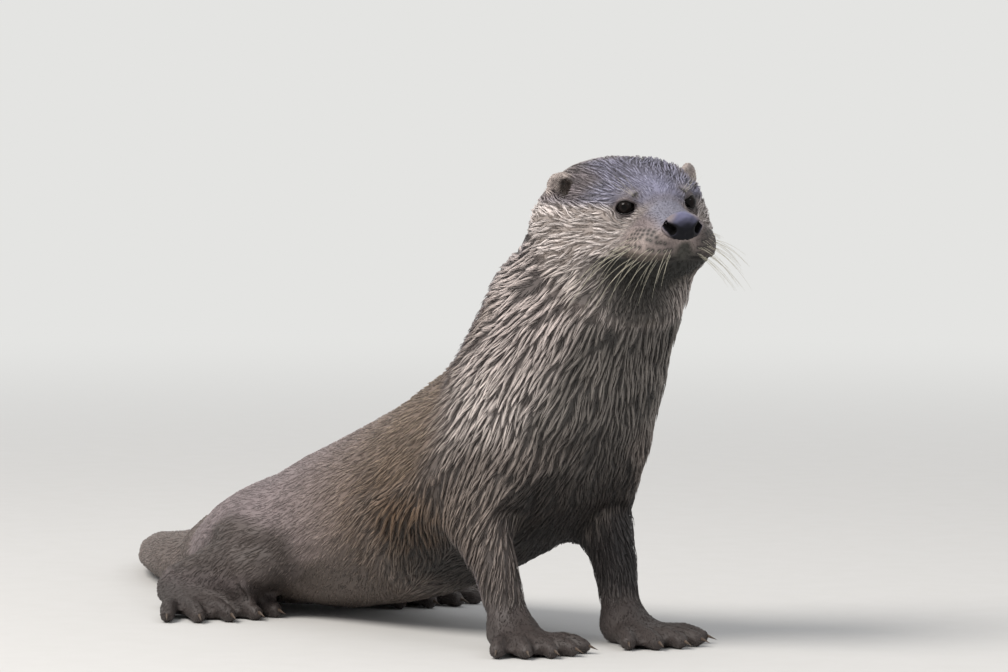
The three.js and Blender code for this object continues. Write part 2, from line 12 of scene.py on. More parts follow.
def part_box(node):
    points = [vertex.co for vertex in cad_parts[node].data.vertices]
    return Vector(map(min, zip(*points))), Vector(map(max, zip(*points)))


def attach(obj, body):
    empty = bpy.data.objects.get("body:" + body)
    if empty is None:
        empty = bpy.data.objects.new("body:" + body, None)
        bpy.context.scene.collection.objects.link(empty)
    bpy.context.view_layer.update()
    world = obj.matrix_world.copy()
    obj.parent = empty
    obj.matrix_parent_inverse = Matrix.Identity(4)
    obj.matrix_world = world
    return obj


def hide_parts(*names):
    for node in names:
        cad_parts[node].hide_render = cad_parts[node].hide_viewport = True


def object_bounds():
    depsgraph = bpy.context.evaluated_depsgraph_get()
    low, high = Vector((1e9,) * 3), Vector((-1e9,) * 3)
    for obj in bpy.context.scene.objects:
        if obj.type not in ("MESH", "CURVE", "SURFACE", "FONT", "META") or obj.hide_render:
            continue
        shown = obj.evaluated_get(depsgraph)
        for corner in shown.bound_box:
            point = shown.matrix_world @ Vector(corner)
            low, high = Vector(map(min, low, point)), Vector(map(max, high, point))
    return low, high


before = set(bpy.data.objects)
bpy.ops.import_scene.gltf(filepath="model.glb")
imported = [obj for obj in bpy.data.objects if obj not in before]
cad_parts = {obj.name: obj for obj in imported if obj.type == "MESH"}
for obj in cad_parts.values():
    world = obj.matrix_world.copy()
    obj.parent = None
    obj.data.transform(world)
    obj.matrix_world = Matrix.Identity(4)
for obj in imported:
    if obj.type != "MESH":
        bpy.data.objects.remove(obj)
cad_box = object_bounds()

# The head's own axes. A skull is even left to right, so the eyes and the nose give three axes: x out
# through the face, y to the animal's left and z up. Lids, mouth, whiskers and face markings are laid
# out on them, in mm from a point between the ears.
MM = 0.001
EYES_AHEAD = 45.2
NOSE_DROP = math.radians(11.9)


def unit(vectors):
    return vectors / np.maximum(np.linalg.norm(vectors, axis=-1, keepdims=True), 1e-12)


def middle(name):
    low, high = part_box(name)
    return np.array((low + high) / 2)


eyes_middle = (middle("eye_left") + middle("eye_right")) / 2
head_left = unit(middle("eye_left") - middle("eye_right"))
to_nose = middle("nose") - eyes_middle
to_nose = unit(to_nose - head_left * (to_nose @ head_left))
over_nose = np.cross(to_nose, head_left)
head_ahead = to_nose * math.cos(NOSE_DROP) + over_nose * math.sin(NOSE_DROP)
head_up = over_nose * math.cos(NOSE_DROP) - to_nose * math.sin(NOSE_DROP)
HEAD_AXES = np.array([head_ahead, head_left, head_up])
head_origin = eyes_middle - head_ahead * EYES_AHEAD * MM


def to_head(places):
    return (places - head_origin) @ HEAD_AXES.T / MM


def from_head(places):
    return head_origin + np.asarray(places) @ HEAD_AXES * MM


# The skin. One hide covers the whole animal, from the nose pad to the tail tip and the toes: the
# flesh solids are joined into a single surface, smoothed, and drawn in by the depth of the coat,
# then the lids, mouth and muzzle are worked into it where the mesh is finest.
SOLID_GAP = 0.3
SKIN_CELL = 2.0
BARE = ("claw_", "eye_", "nose")
# The skin's cells are halved over the head and again over the face, within these planes.
HEAD_FROM, HEAD_FLOOR = -22, -52
FACE_FROM, FACE_FLOOR, FACE_HALF = 32, -42, 42
# Rounds of smoothing that take the cells' steps off, everywhere and then more on the body.
STEPS_OFF, BODY_STEPS_OFF = 14, 60
JOIN_BLUR = 30

flesh = [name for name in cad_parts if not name.startswith(BARE)]


def read(things, field, wide=3, kind=np.float32):
    """A field of a mesh's points, edges, triangles or corners, one row for each."""
    values = np.empty(len(things) * wide, kind)
    things.foreach_get(field, values)
    return values.reshape(-1, wide)


def points_of(mesh):
    return read(mesh.vertices, "co").astype(float)


def point_normals(mesh):
    return read(mesh.vertex_normals, "vector").astype(float)


def arrays(mesh):
    """A mesh's points, triangles and the corner number of each triangle's corners."""
    mesh.calc_loop_triangles()
    triangles = read(mesh.loop_triangles, "vertices", kind=np.int32)
    return points_of(mesh), triangles, read(mesh.loop_triangles, "loops", kind=np.int32)


def mesh_from(name, points, faces):
    """A smooth-shaded mesh from arrays, with as many corners in each face as faces has columns."""
    mesh = bpy.data.meshes.new(name)
    mesh.vertices.add(len(points))
    mesh.vertices.foreach_set("co", np.asarray(points, np.float32).ravel())
    mesh.loops.add(faces.size)
    mesh.loops.foreach_set("vertex_index", np.asarray(faces, np.int32).ravel())
    mesh.polygons.add(len(faces))
    mesh.polygons.foreach_set("loop_start", np.arange(0, faces.size, faces.shape[1], dtype=np.int32))
    mesh.update(calc_edges=True)
    mesh.shade_smooth()
    return mesh


def into_scene(name, data):
    thing = bpy.data.objects.new(name, data)
    bpy.context.scene.collection.objects.link(thing)
    return thing


def place(name, mesh, material):
    """Puts a mesh in the scene as a piece of the animal's one body."""
    mesh.materials.append(material)
    piece = into_scene(name, mesh)
    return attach(piece, "root")


def joined(names, swell):
    """The solids of some nodes as one set of triangles, each swelled to close the gaps between them."""
    points, faces, owners, count = [], [], [], 0
    for name in names:
        own_points, own_faces, _ = arrays(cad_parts[name].data)
        points.append(own_points + point_normals(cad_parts[name].data) * swell)
        faces.append(own_faces + count)
        owners.extend([name] * len(own_faces))
        count += len(own_points)
    return np.concatenate(points), np.concatenate(faces), np.array(owners)


def one_surface(name, points, faces, cell):
    """One closed surface round overlapping solids, in even square cells."""
    rough = into_scene(name, mesh_from(name, points, faces))
    skin_over = rough.modifiers.new("one surface", "REMESH")
    skin_over.mode = "VOXEL"
    skin_over.voxel_size = cell
    made = bpy.data.meshes.new_from_object(rough.evaluated_get(bpy.context.evaluated_depsgraph_get()))
    bpy.data.objects.remove(rough)
    return made


class Net:
    """The edges of a mesh, for averaging values over its surface."""

    STEP_IN, STEP_OUT = 0.5, 0.53

    def __init__(self, mesh):
        self.a, self.b = read(mesh.edges, "vertices", 2, np.int32).T
        self.count = len(mesh.vertices)
        self.ways = np.bincount(self.a, minlength=self.count) + np.bincount(self.b, minlength=self.count)

    def around(self, values):
        """The mean of the values at each point's neighbours."""
        total = []
        for column in values.reshape(self.count, -1).T:
            ahead = np.bincount(self.a, column[self.b], self.count)
            behind = np.bincount(self.b, column[self.a], self.count)
            total.append(ahead + behind)
        return (np.stack(total, 1) / np.maximum(self.ways, 1)[:, None]).reshape(values.shape)

    def blurred(self, values, rounds):
        for _ in range(rounds):
            values = (values + self.around(values)) / 2
        return values

    def rounded(self, points, rounds):
        """Smooths without shrinking: each step in is followed by a slightly longer step out."""
        for _ in range(rounds):
            points = points + self.STEP_IN * (self.around(points) - points)
            points = points - self.STEP_OUT * (self.around(points) - points)
        return points


def split_finer(mesh, chosen):
    """Halves the cells of a mesh where both ends of an edge are chosen."""
    work = bmesh.new()
    work.from_mesh(mesh)
    edges = [e for e in work.edges if chosen[e.verts[0].index] and chosen[e.verts[1].index]]
    bmesh.ops.subdivide_edges(work, edges=edges, cuts=1, use_grid_fill=True)
    work.to_mesh(mesh)
    work.free()


def ramp(values, low, high):
    """Rises smoothly from 0 at low to 1 at high."""
    t = np.clip((values - low) / (high - low), 0, 1)
    return t * t * (3 - 2 * t)


def bump(values, wide):
    return np.exp(-((values / wide) ** 2))


eye_names = ("eye_left", "eye_right")
solid_points, solid_faces, solid_owners = joined(flesh + [*eye_names, "nose"], SOLID_GAP * MM)
skin_mesh = one_surface("otter_skin", solid_points, solid_faces, SKIN_CELL * MM)
at_head = to_head(points_of(skin_mesh))
split_finer(skin_mesh, (at_head[:, 0] > HEAD_FROM) & (at_head[:, 2] > HEAD_FLOOR))
at_head = to_head(points_of(skin_mesh))
on_face = (at_head[:, 0] > FACE_FROM) & (at_head[:, 2] > FACE_FLOOR)
split_finer(skin_mesh, on_face & (np.abs(at_head[:, 1]) < FACE_HALF))

net = Net(skin_mesh)
skin_points = net.rounded(points_of(skin_mesh), STEPS_OFF)

owner_tree = BVHTree.FromPolygons(solid_points.tolist(), solid_faces.tolist())
nearest = [owner_tree.find_nearest(p)[2] for p in skin_points.tolist()]
skin_owner = solid_owners[np.array(nearest)]


def part(*starts, blur=JOIN_BLUR):
    """How much each point of the skin belongs to the nodes whose names begin so, blurred at the joins."""
    owned = np.any([np.char.startswith(skin_owner, start) for start in starts], 0)
    return net.blurred(owned * 1.0, blur)


head_part = part("head", "ear", "eye", "nose")
paws_part = part("forepaw", "hindpaw")
legs_part = part("foreleg", "hindleg")
tail_part = part("tail")
ear_part = part("ear", blur=3)
nose_part = part("nose", blur=2)
by_nose = part("nose", blur=6)

at_head = to_head(skin_points)
face_part = head_part * ramp(at_head[:, 0], 15, 50)
smooth_share = ((1 - head_part) * (1 - paws_part))[:, None]
skin_points += smooth_share * (net.rounded(skin_points, BODY_STEPS_OFF) - skin_points)

# The coat is deepest on the body and thinnest on the ears. Under the nose pad the hide lies far back,
# clear of the nostrils.
COAT_DEPTH, NOSE_DEPTH = 2.4, 9.0
coat_depths = [
    (legs_part, 1.4),
    (tail_part, 1.8),
    (paws_part, 0.6),
    (head_part, 1.3),
    (face_part, 0.7),
    (ear_part, 0.3),
    (ramp(by_nose, 0.1, 0.4), 1.2),
    (ramp(nose_part, 0.7, 0.98), NOSE_DEPTH),
]
coat_depth = COAT_DEPTH * np.ones(len(skin_points))
for share, depth in coat_depths:
    coat_depth += share * (depth - coat_depth)


def normals_at(points):
    skin_mesh.vertices.foreach_set("co", points.astype(np.float32).ravel())
    skin_mesh.update()
    return point_normals(skin_mesh)


skin_points = skin_points - normals_at(skin_points) * coat_depth[:, None] * MM

# The lids. A rim of dark bare skin closes on each eyeball, with a sharp corner that runs down towards
# the nose and a blunt one above the cheek. The hide round it is turned up to meet the ball, and falls
# behind it inside the opening.
EYE_RADIUS = 6.0
EYE_OUT = unit(np.array([0.8, 0.57, 0.15]))
LID_HALF = (5.3, 4.4)
INNER_CORNER, OUTER_CORNER = 2.6, 0.9
INNER_SHARP, OUTER_SHARP = 0.2, 0.25
LID_TILT = math.radians(-14)
OUTER_ANGLE = 2.75
SOCKET = 15
LID_THICK, LID_TUCK = 0.45, 1.4
BALL_EDGE, LID_FALL = 5.4, 0.75


def eye_axes(side):
    """The axes of an eye in head axes: across towards the nose, up, and out through the pupil."""
    out = EYE_OUT * [1, side, 1]
    across = unit(np.array([1.0, 0, 0]) - out * out[0])
    up = np.cross(out, across) * side
    turned = across * math.cos(LID_TILT) + up * math.sin(LID_TILT)
    return np.array([turned, up * math.cos(LID_TILT) - across * math.sin(LID_TILT), out])


def lid_reach(angle):
    """How far from the pupil the lid's edge is, in mm, at an angle from the corner by the nose."""
    wide, high = LID_HALF
    oval = 1 / np.sqrt((np.cos(angle) / wide) ** 2 + (np.sin(angle) / high) ** 2)
    inner = INNER_CORNER * np.exp(-((np.sin(angle / 2) / INNER_SHARP) ** 2))
    outer = OUTER_CORNER * np.exp(-((np.sin((angle - OUTER_ANGLE) / 2) / OUTER_SHARP) ** 2))
    return oval + inner + outer


at_head = to_head(skin_points)
for name, side in zip(eye_names, (1, -1)):
    eye_at = to_head(middle(name))
    near = np.linalg.norm(at_head - eye_at, axis=1) < SOCKET
    across, up, out = eye_axes(side) @ (at_head[near] - eye_at).T
    away = np.hypot(across, up)
    angle = np.arctan2(up, across)
    gap = away - lid_reach(angle)
    lid_ball = EYE_RADIUS + LID_THICK - LID_TUCK * (1 - ramp(gap, 0.0, 0.9))
    within = np.minimum(away, BALL_EDGE)
    lid_out = np.sqrt(np.maximum(lid_ball ** 2 - within ** 2, 1.0)) - LID_FALL * (away - within)
    share = (1 - ramp(away, 5.8, 10.5)) * (out > -3)
    out_new = out + share * (lid_out - out)
    at_head[near] = eye_at + np.stack([across, up, out_new], 1) @ eye_axes(side)

# The mouth is a fold that starts under the nose and runs back below each whisker pad to a corner
# under the eye, and a short groove joins it to the nose pad.
MOUTH = [
    [88, 0, -29], [86, 6, -29.3], [84, 13, -30], [80, 21, -30.5],
    [70, 26.5, -31.2], [58, 31, -30.6], [51, 35.5, -27],
]
PHILTRUM = [[92, 0, -15], [90, 0, -21], [88, 0, -29]]
NOSTRIL = [[89.6, 9.8, -9.6], [87.6, 11.8, -7.8], [85.2, 12.8, -5.6]]
MOUTH_WIDE, MOUTH_DEEP = 1.2, 2.0
PHILTRUM_WIDE, PHILTRUM_DEEP = 0.9, 1.1
LIP_ABOVE, LIP_WIDE, LIP_FULL = 3.2, 2.2, 0.7
NOSTRIL_SINK = 7.0
# Two creases frame each eye: one drops from the brow to the inner corner, one runs under the lower lid.
BROW_CREASE = [[50.5, 17, 10], [53, 17.8, 4], [55, 19.3, -2]]
UNDER_CREASE = [[43.5, 29.5, -3], [48, 28, -8], [53, 24, -8.6], [57, 19.5, -6]]
BROW_DEEP, UNDER_DEEP = 0.8, 0.5


def off_line(points, line):
    """The distance of each point from a line of straight lengths."""
    best = np.full(len(points), 1e9)
    for start, end in zip(np.array(line[:-1], float), np.array(line[1:], float)):
        along = end - start
        t = np.clip((points - start) @ along / (along @ along), 0, 1)
        best = np.minimum(best, np.linalg.norm(points - start - t[:, None] * along, axis=1))
    return best


even = at_head.copy()
even[:, 1] = np.abs(even[:, 1])
mouth_off = off_line(even, MOUTH)
philtrum_off = off_line(even, PHILTRUM)
nostril_off = off_line(even, NOSTRIL)
# The bare skin along each nostril's slit is painted near black, as the slit's shade.
nostril_shade = bump(np.maximum(nostril_off - 2.6, 0), 0.9)
brow_crease = bump(off_line(even, BROW_CREASE), 1.0)
under_crease = bump(off_line(even, UNDER_CREASE), 1.1)
skin_points = from_head(at_head)
inward = -normals_at(skin_points) @ HEAD_AXES.T
above_mouth = bump(mouth_off - LIP_ABOVE, LIP_WIDE) * (even[:, 2] > -30.5) * (even[:, 0] > 52)
fold = MOUTH_DEEP * bump(mouth_off, MOUTH_WIDE) + PHILTRUM_DEEP * bump(philtrum_off, PHILTRUM_WIDE)
fold -= LIP_FULL * above_mouth
near_nostril = 1 - ramp(nostril_off, 2.2, 4.2)
fold += BROW_DEEP * brow_crease + UNDER_DEEP * under_crease + NOSTRIL_SINK * near_nostril
skin_points = from_head(at_head + inward * fold[:, None])
skin_normals = normals_at(skin_points)
skin_count = len(skin_points)
at_head = to_head(skin_points)

# The lie of the coat. Hair grows away from the nose over the whole body, so its lie is the way in
# which the distance over the skin from the nose grows.
REACH_BLUR = 24
LIE_PASSES, LIE_BLUR = 6, 6
_, skin_faces, skin_loops = arrays(skin_mesh)
skin_tree = BVHTree.FromPolygons(skin_points.tolist(), skin_faces.tolist())


def distance_from_nose():
    """The shortest way over the skin's edges from the nose to each point."""
    pairs = np.concatenate([skin_faces[:, [0, 1]], skin_faces[:, [1, 2]], skin_faces[:, [2, 0]]])
    pairs = np.unique(np.sort(pairs, 1), axis=0)
    lengths = np.linalg.norm(skin_points[pairs[:, 0]] - skin_points[pairs[:, 1]], axis=1)
    ends = np.concatenate([pairs, pairs[:, ::-1]])
    lengths = np.concatenate([lengths, lengths])
    order = np.argsort(ends[:, 0], kind="stable")
    first = np.searchsorted(ends[order, 0], np.arange(skin_count + 1)).tolist()
    there, step = ends[order, 1].tolist(), lengths[order].tolist()
    reach = [1e9] * skin_count
    queue = []
    for start in np.nonzero(skin_owner == "nose")[0].tolist():
        reach[start] = 0.0
        queue.append((0.0, start))
    heapq.heapify(queue)
    while queue:
        so_far, here = heapq.heappop(queue)
        if so_far > reach[here]:
            continue
        for k in range(first[here], first[here + 1]):
            total = so_far + step[k]
            if total < reach[there[k]]:
                reach[there[k]] = total
                heapq.heappush(queue, (total, there[k]))
    return np.array(reach)


corner_a, corner_b, corner_c = (skin_points[skin_faces[:, k]] for k in range(3))
face_cross = np.cross(corner_b - corner_a, corner_c - corner_a)
face_area = np.linalg.norm(face_cross, axis=1) / 2
face_normal = unit(face_cross)
from_nose = net.blurred(distance_from_nose(), REACH_BLUR)
reach_a, reach_b, reach_c = (from_nose[skin_faces[:, k]][:, None] for k in range(3))
face_slope = (
    reach_a * np.cross(face_normal, corner_c - corner_b)
    + reach_b * np.cross(face_normal, corner_a - corner_c)
    + reach_c * np.cross(face_normal, corner_b - corner_a)
) / (2 * face_area[:, None] + 1e-12)
lie = np.zeros((skin_count, 3))
for k in range(3):
    for axis in range(3):
        weight = unit(face_slope)[:, axis] * face_area
        lie[:, axis] += np.bincount(skin_faces[:, k], weight, skin_count)
for _ in range(LIE_PASSES):
    lie = net.blurred(unit(lie), LIE_BLUR)
    lie -= skin_normals * np.sum(lie * skin_normals, 1)[:, None]
lie = unit(lie)

# The coat's zones. An otter is grey-brown above, paler on cheeks and throat, dark on the wet legs and
# belly. Some zones paint light into the coat as well: the underside, the fronts of chest and throat,
# the nape, the far foreleg and pad, the jaw, the eye creases, the ear hollows and the nostril slits are
# darker, wholly or partly as painted shade, and the crown, forehead and top of the muzzle take a
# painted blue-grey sheen. Each zone gives its share of the skin, the colour of the hair tips and of
# the underfur and the size of the tufts in mm, and covers the zones before it. Wet hair hangs from
# the neck.
HANG = 0.4
WET_FROM = 0.247
ELBOW_AT, ELBOW_HIGH = 0.193, 0.072
ELBOW_LONG, ELBOW_TALL = 0.055, 0.045

# Zones of the body are laid out in metres, z up from the floor, and those of the head on its own axes.
x, y, z = skin_points.T
hx, hy, hz = at_head.T
hy = np.abs(hy)
facing_down = ramp(-skin_normals[:, 2], 0.15, 0.75)
facing_front = ramp(skin_normals @ unit(np.array([0.9, 0.3, -0.45])), 0.2, 0.75)
on_body = (1 - head_part) * (1 - paws_part)

# The neck, chest and forelegs are wet. The wet coat starts behind the shoulder low down, farther ahead
# at the middle of the neck, and farther back again towards the ears.
wet_from = WET_FROM + 0.9 * np.clip(z - 0.19, 0, 0.035) - 1.2 * np.maximum(z - 0.225, 0)
wet_from -= 0.085 * ramp(-z, -0.12, -0.085)
wet = ramp(x - wet_from, -0.03, 0.03) * on_body
hang = [0, 0, -1] + skin_normals * skin_normals[:, 2:]
front_side = ramp(skin_normals[:, 0], -0.5, 0.8)
lie = unit(lie + HANG * (wet * front_side)[:, None] * hang)
forequarters = ramp(x, 0.0, 0.2) * on_body
outer_side = ramp(skin_normals[:, 1] * np.sign(y), 0.0, 0.4)
elbow = bump((x - ELBOW_AT) / ELBOW_LONG, 1) * bump((z - ELBOW_HIGH) / ELBOW_TALL, 1)
elbow = elbow * on_body * outer_side
low_neck = wet * ramp(-z, -0.215, -0.15)
chest_front = wet * facing_front * ramp(-z, -0.235, -0.17)
low_chest = wet * ramp(-z, -0.155, -0.06)
upper_leg = wet * outer_side * ramp(z, 0.045, 0.085) * ramp(-z, -0.16, -0.12)
nape = on_body * ramp(x, 0.17, 0.24) * ramp(-skin_normals[:, 0], 0.2, 0.6)
throat_top = head_part * ramp(-hz, 33, 46)
under_chest = wet * ramp(-skin_normals[:, 2], 0.3, 0.85)
throat = ramp(from_nose, 0.045, 0.065) * ramp(skin_normals @ unit(np.array([0.8, 0.2, -0.5])), 0.2, 0.8)
crown = head_part * ramp(hz - 0.05 * hx, -5, 3)
spiky = crown * ramp(at_head[:, 1], 0, 16)
temple = crown * ramp(hy, 24, 36) * ramp(-hx, -32, -18)
occiput = crown * ramp(-hx, -8, 24)
cheek_back = head_part * (1 - crown) * ramp(-hx, -32, -2)
forehead = crown * bump(np.hypot((hx - 47) / 16, hy / 15), 1)
brow = head_part * bump(np.hypot(np.hypot(hx - 49, hy - 20), hz - 9.5), 6)
off_eyes = np.minimum(*[np.linalg.norm(at_head - to_head(middle(name)), axis=1) for name in eye_names])
eye_ring = bump(off_eyes - EYE_RADIUS, 2.0)
muzzle = head_part * ramp(hx, 52, 62)
bridge = muzzle * ramp(skin_normals @ HEAD_AXES[2], 0.35, 0.8) * (1 - ramp(hy, 9, 19))
pad = head_part * ramp(hx, 54, 66) * ramp(-hz, 8, 14) * ramp(hz, -32, -29)
pad_edge = head_part * ramp(hx, 52, 60) * bump(hz + 27.8, 2.6) * ramp(hy, 8, 14)
below_nose = np.clip(-hz - 17, 0, 12) / 12
under_nose = head_part * ramp(hx, 70, 78) * ramp(-hz, 15, 20)
under_nose *= 1 - ramp(hy / (3 + 7 * below_nose), 0.3, 1.7)
low_pad = pad * ramp(-hz, 21, 29)
jaw = head_part * ramp(-hz, 29, 32) * ramp(hx, 30, 52)
under_jaw = head_part * facing_down * ramp(hx - 0.8 * hy, 5, 30)
lips = np.maximum(bump(mouth_off, 1.9), bump(philtrum_off, 1.2)) * (hx > 30)

# Five rows of whisker follicles dot each pad, and a small group the brow over each eye.
FOLLICLE_ROWS = [
    # front of the row, back of the row, how many
    ([80, 18.5, -10.8], [68, 25.5, -11.2], 5),
    ([83, 17.5, -14.5], [66, 27, -14.5], 7),
    ([87.5, 13.5, -18.5], [64, 29, -18], 10),
    ([89, 10, -22.3], [63, 30, -22], 12),
    ([88.5, 9.5, -26.3], [62, 30, -26.2], 12),
]
FOLLICLE_WIDE, FOLLICLE_STRAY = 1.7, 0.3
BROW_FOLLICLES = 4
rng = np.random.default_rng(21)
follicles = []
for row, (front, back, how_many) in enumerate(FOLLICLE_ROWS):
    for t in np.linspace(0, 1, how_many):
        for side in (1, -1):
            spot = np.array(front) * (1 - t) + np.array(back) * t + rng.normal(0, FOLLICLE_STRAY, 3)
            follicles.append({"at": spot * [1, side, 1], "side": side, "row": row, "back": t})
for side in (1, -1):
    for i in range(BROW_FOLLICLES):
        spot = np.array([50 + i, (16.5 + 1.5 * i) * side, 9.5 - 0.5 * i])
        follicles.append({"at": spot, "side": side, "row": -1, "back": i / (BROW_FOLLICLES - 1)})
follicle_tree = KDTree(len(follicles))
for i, follicle in enumerate(follicles):
    follicle["at"] = to_head(np.array(skin_tree.find_nearest(from_head(follicle["at"]).tolist())[0]))
    follicle_tree.insert(follicle["at"], i)
follicle_tree.balance()
spots = np.zeros(skin_count)
for i in np.nonzero(hx > 40)[0]:
    spots[i] = bump(follicle_tree.find(at_head[i])[2], FOLLICLE_WIDE)

# The ears are small round cups that open forward and outward, with a pale rim; the dark inside is
# partly painted shade in the cup.
EAR_OPENS = math.radians(38)
HOLLOW_AHEAD, HOLLOW_OUT, HOLLOW_LOW = 3.5, 7, 3.0
HOLLOW_BACK, HOLLOW_FRONT = -6, 9
ear_hollow = np.zeros(skin_count)
for name, side in (("ear_left", 1), ("ear_right", -1)):
    opens = np.array([math.cos(EAR_OPENS), side * math.sin(EAR_OPENS), 0])
    from_ear = at_head - to_head(middle(name)) - [HOLLOW_AHEAD, -HOLLOW_OUT * side, -HOLLOW_LOW]
    ahead = from_ear @ opens
    aside = np.linalg.norm(from_ear - ahead[:, None] * opens, axis=1)
    facing = ramp(skin_normals @ HEAD_AXES.T @ opens, -0.35, 0.1)
    cup = (1 - ramp(aside, 5.5, 9)) * (ahead > HOLLOW_BACK) * (ahead < HOLLOW_FRONT) * facing
    ear_hollow = np.maximum(ear_hollow, cup)


def linear(colour):
    """An sRGB hex colour as the linear red, green, blue and alpha that shaders take."""
    parts = [int(colour[i:i + 2], 16) / 255 for i in (1, 3, 5)]
    return [c / 12.92 if c <= 0.04045 else ((c + 0.055) / 1.055) ** 2.4 for c in parts] + [1.0]


TUFT_SIZES = ("length", "width", "stand", "gather", "apart", "lock", "sway")
coat = {key: np.zeros((skin_count, 4)) for key in ("tip", "root")}
coat.update({key: np.zeros((skin_count, 1)) for key in TUFT_SIZES})


def zone(share, **looks):
    """Gives its share of the skin these colours and tuft sizes."""
    for key, value in looks.items():
        value = np.array(linear(value)) if key in ("tip", "root") else value
        coat[key] += share[:, None] * (value - coat[key])


zone(np.ones(skin_count), tip="#a89b9b", root="#6e6263", length=9, width=0.6, stand=0.03, gather=0.35,
     apart=2.1, lock=2.0, sway=0.045)
zone(forequarters, tip="#a0907f", root="#5a4a42", length=12, stand=0.045, gather=0.65, lock=2.4)
# Painted shade: the body's coat is darker where it faces down.
zone(facing_down * (1 - head_part), tip="#80746c", root="#443a35")
zone(tail_part, tip="#8b807b", root="#544a45", length=9, width=0.9, apart=2.3)
zone(legs_part, tip="#6f6560", root="#3a3230", length=9, width=0.6, apart=2.1, stand=0.05, lock=2.2)
zone(wet, tip="#dacdc8", root="#2e2524", length=15, width=0.6, stand=0.1, gather=0.93, apart=1.5,
     lock=4.1, sway=0.09)
zone(low_neck, tip="#e6dbd5", root="#2e2624", length=16)
# Partly painted shade: the chest's front, facing ahead and down, away from the lamp, is darker than the wet
# neck.
zone(chest_front, tip="#8a827c", root="#252120", length=16, lock=3.0, stand=0.06)
# Painted shade: the throat's front, facing ahead and down, is darker than the pale wet neck.
zone(wet * throat, tip="#8f8882", root="#282523", length=16)
# Darker lower down the wet chest, partly for the wetter coat and partly as painted shade under the body.
zone(low_chest, tip="#7c736c", root="#241f1d", length=12, stand=0.05, lock=2.4)
zone(wet * legs_part, tip="#857a74", root="#2d2624", length=12, apart=1.7, lock=2.3, sway=0.07, stand=0.045,
     width=0.5)
zone(upper_leg, tip="#90857e", root="#2a2321", length=15, width=0.6, gather=0.93, stand=0.08, lock=3.4)
zone(elbow, tip="#80664e", root="#21160f", length=16, stand=0.1, gather=0.92, lock=3.6, apart=1.7)
# Painted shade: the back of the neck, facing the tail, is darker and greyer; its hair also stands up more.
zone(nape, tip="#84797e", root="#30292c", stand=0.16)
# The far foreleg is darker, partly for its wetter coat and partly as painted shade.
zone(legs_part * ramp(x, 0.2, 0.24) * ramp(y, -0.02, 0.03), tip="#4b4646", root="#1c1919")
# Painted shade over the wet coat: the underside of the chest, facing down, is nearly black.
zone(under_chest, tip="#38322f", root="#191615", length=13, stand=0.04)
zone(paws_part, tip="#4d4542", root="#37302e", length=3.5, width=0.5, stand=0.05, gather=0.3,
     apart=1.7, lock=1.8, sway=0.1)
zone(head_part, tip="#e6dcd8", root="#65584f", length=9.5, width=0.5, stand=0.09, gather=0.9,
     apart=1.25, lock=2.1, sway=0.16)
# Partly painted sheen: the crown's blue-grey tips stand in for the sky's sheen on the damp hair on top.
zone(crown, tip="#9a98ac", root="#28242e", length=8.5, width=0.45, stand=0.04, gather=0.94,
     apart=1.2, lock=2.1, sway=0.12)
zone(temple, tip="#8a8083", root="#352d30", length=11)
zone(occiput, tip="#8f8481", root="#3d3430", length=11)
zone(cheek_back, length=13, lock=2.8, width=0.55)
zone(spiky, stand=0.2, length=8.5, lock=1.9)
zone(throat_top, tip="#d8cdc7", root="#2f2725", length=15, width=0.6, stand=0.1, gather=0.93, apart=1.5,
     lock=3.8, sway=0.09)
# Partly painted sheen: the forehead is paler and bluer for the same sky sheen.
zone(forehead, tip="#a3a3b9", root="#77758a", length=6, stand=0.03, gather=0.5)
# Painted shade: the coat under the jaw, where it faces down, is darker.
zone(under_jaw, tip="#857c72", root="#231e1b", length=13, gather=0.93, lock=3.2, apart=1.4)
zone(muzzle, tip="#827676", root="#5e5453", length=2.6, width=0.4, stand=0.05, gather=0.2,
     apart=1.05, lock=1.6, sway=0.15)
# Painted sheen: the upward-facing top of the muzzle is bluer, as the sky's sheen.
zone(bridge, tip="#868592", root="#636270")
zone(pad, tip="#a3958f", root="#6a5e5a", length=1.5, width=0.36, stand=0.06)
zone(low_pad, tip="#50483f", root="#2b2620")
zone(muzzle * bump(off_line(even, [[86, 9, -18], [82, 18, -18]]), 5), tip="#665b59", root="#413836")
zone(brow, tip="#a9a2a8", root="#6f686e", length=4.5, width=0.42, stand=0.09, lock=1.4)
zone(eye_ring * head_part, tip="#6e6364", root="#473f40", length=2.0, width=0.35, stand=0.03,
     gather=0.1, apart=0.95)
# Painted shade: the creases round each eye are darker.
zone(np.maximum(brow_crease, 0.6 * under_crease) * head_part, tip="#4c4344", root="#332c2d", length=1.6)
zone(pad_edge, tip="#7d7166", root="#2a2321", length=5.5, stand=0.1, gather=0.7, lock=1.2)
# Painted shade: the whisker pad on the far side is darker.
zone(pad * ramp(at_head[:, 1], 8, 14), tip="#625955", root="#352e2c")
zone(under_nose, tip="#3d3b35", root="#24231e", length=2.4)
# Mostly painted shade: the chin and lower jaw under the whisker pads are near black, over the dark wet lip.
zone(jaw, tip="#1b1a13", root="#0f0e0b", length=5, width=0.5, stand=0.07, gather=0.5, apart=1.2)
zone(ear_part, tip="#c4b8b2", root="#7a6e69", length=3, width=0.4, stand=0.06, gather=0.2, apart=1.1)
# Partly painted shade: the hollow of each ear cup is dark.
zone(ear_hollow, tip="#33271f", root="#1b1410", length=3.4)
zone(spots, tip="#151010", root="#100c0c", length=0.8)
zone(nose_part, tip="#4c4648", root="#3a3537")
# Painted shade: the slit of each nostril, where it runs into the fur, is near black.
zone(nostril_shade, tip="#0f0d0d", root="#0b0a0a", length=1.2)
zone(lips, tip="#1d1917", root="#13100f", length=1.2)


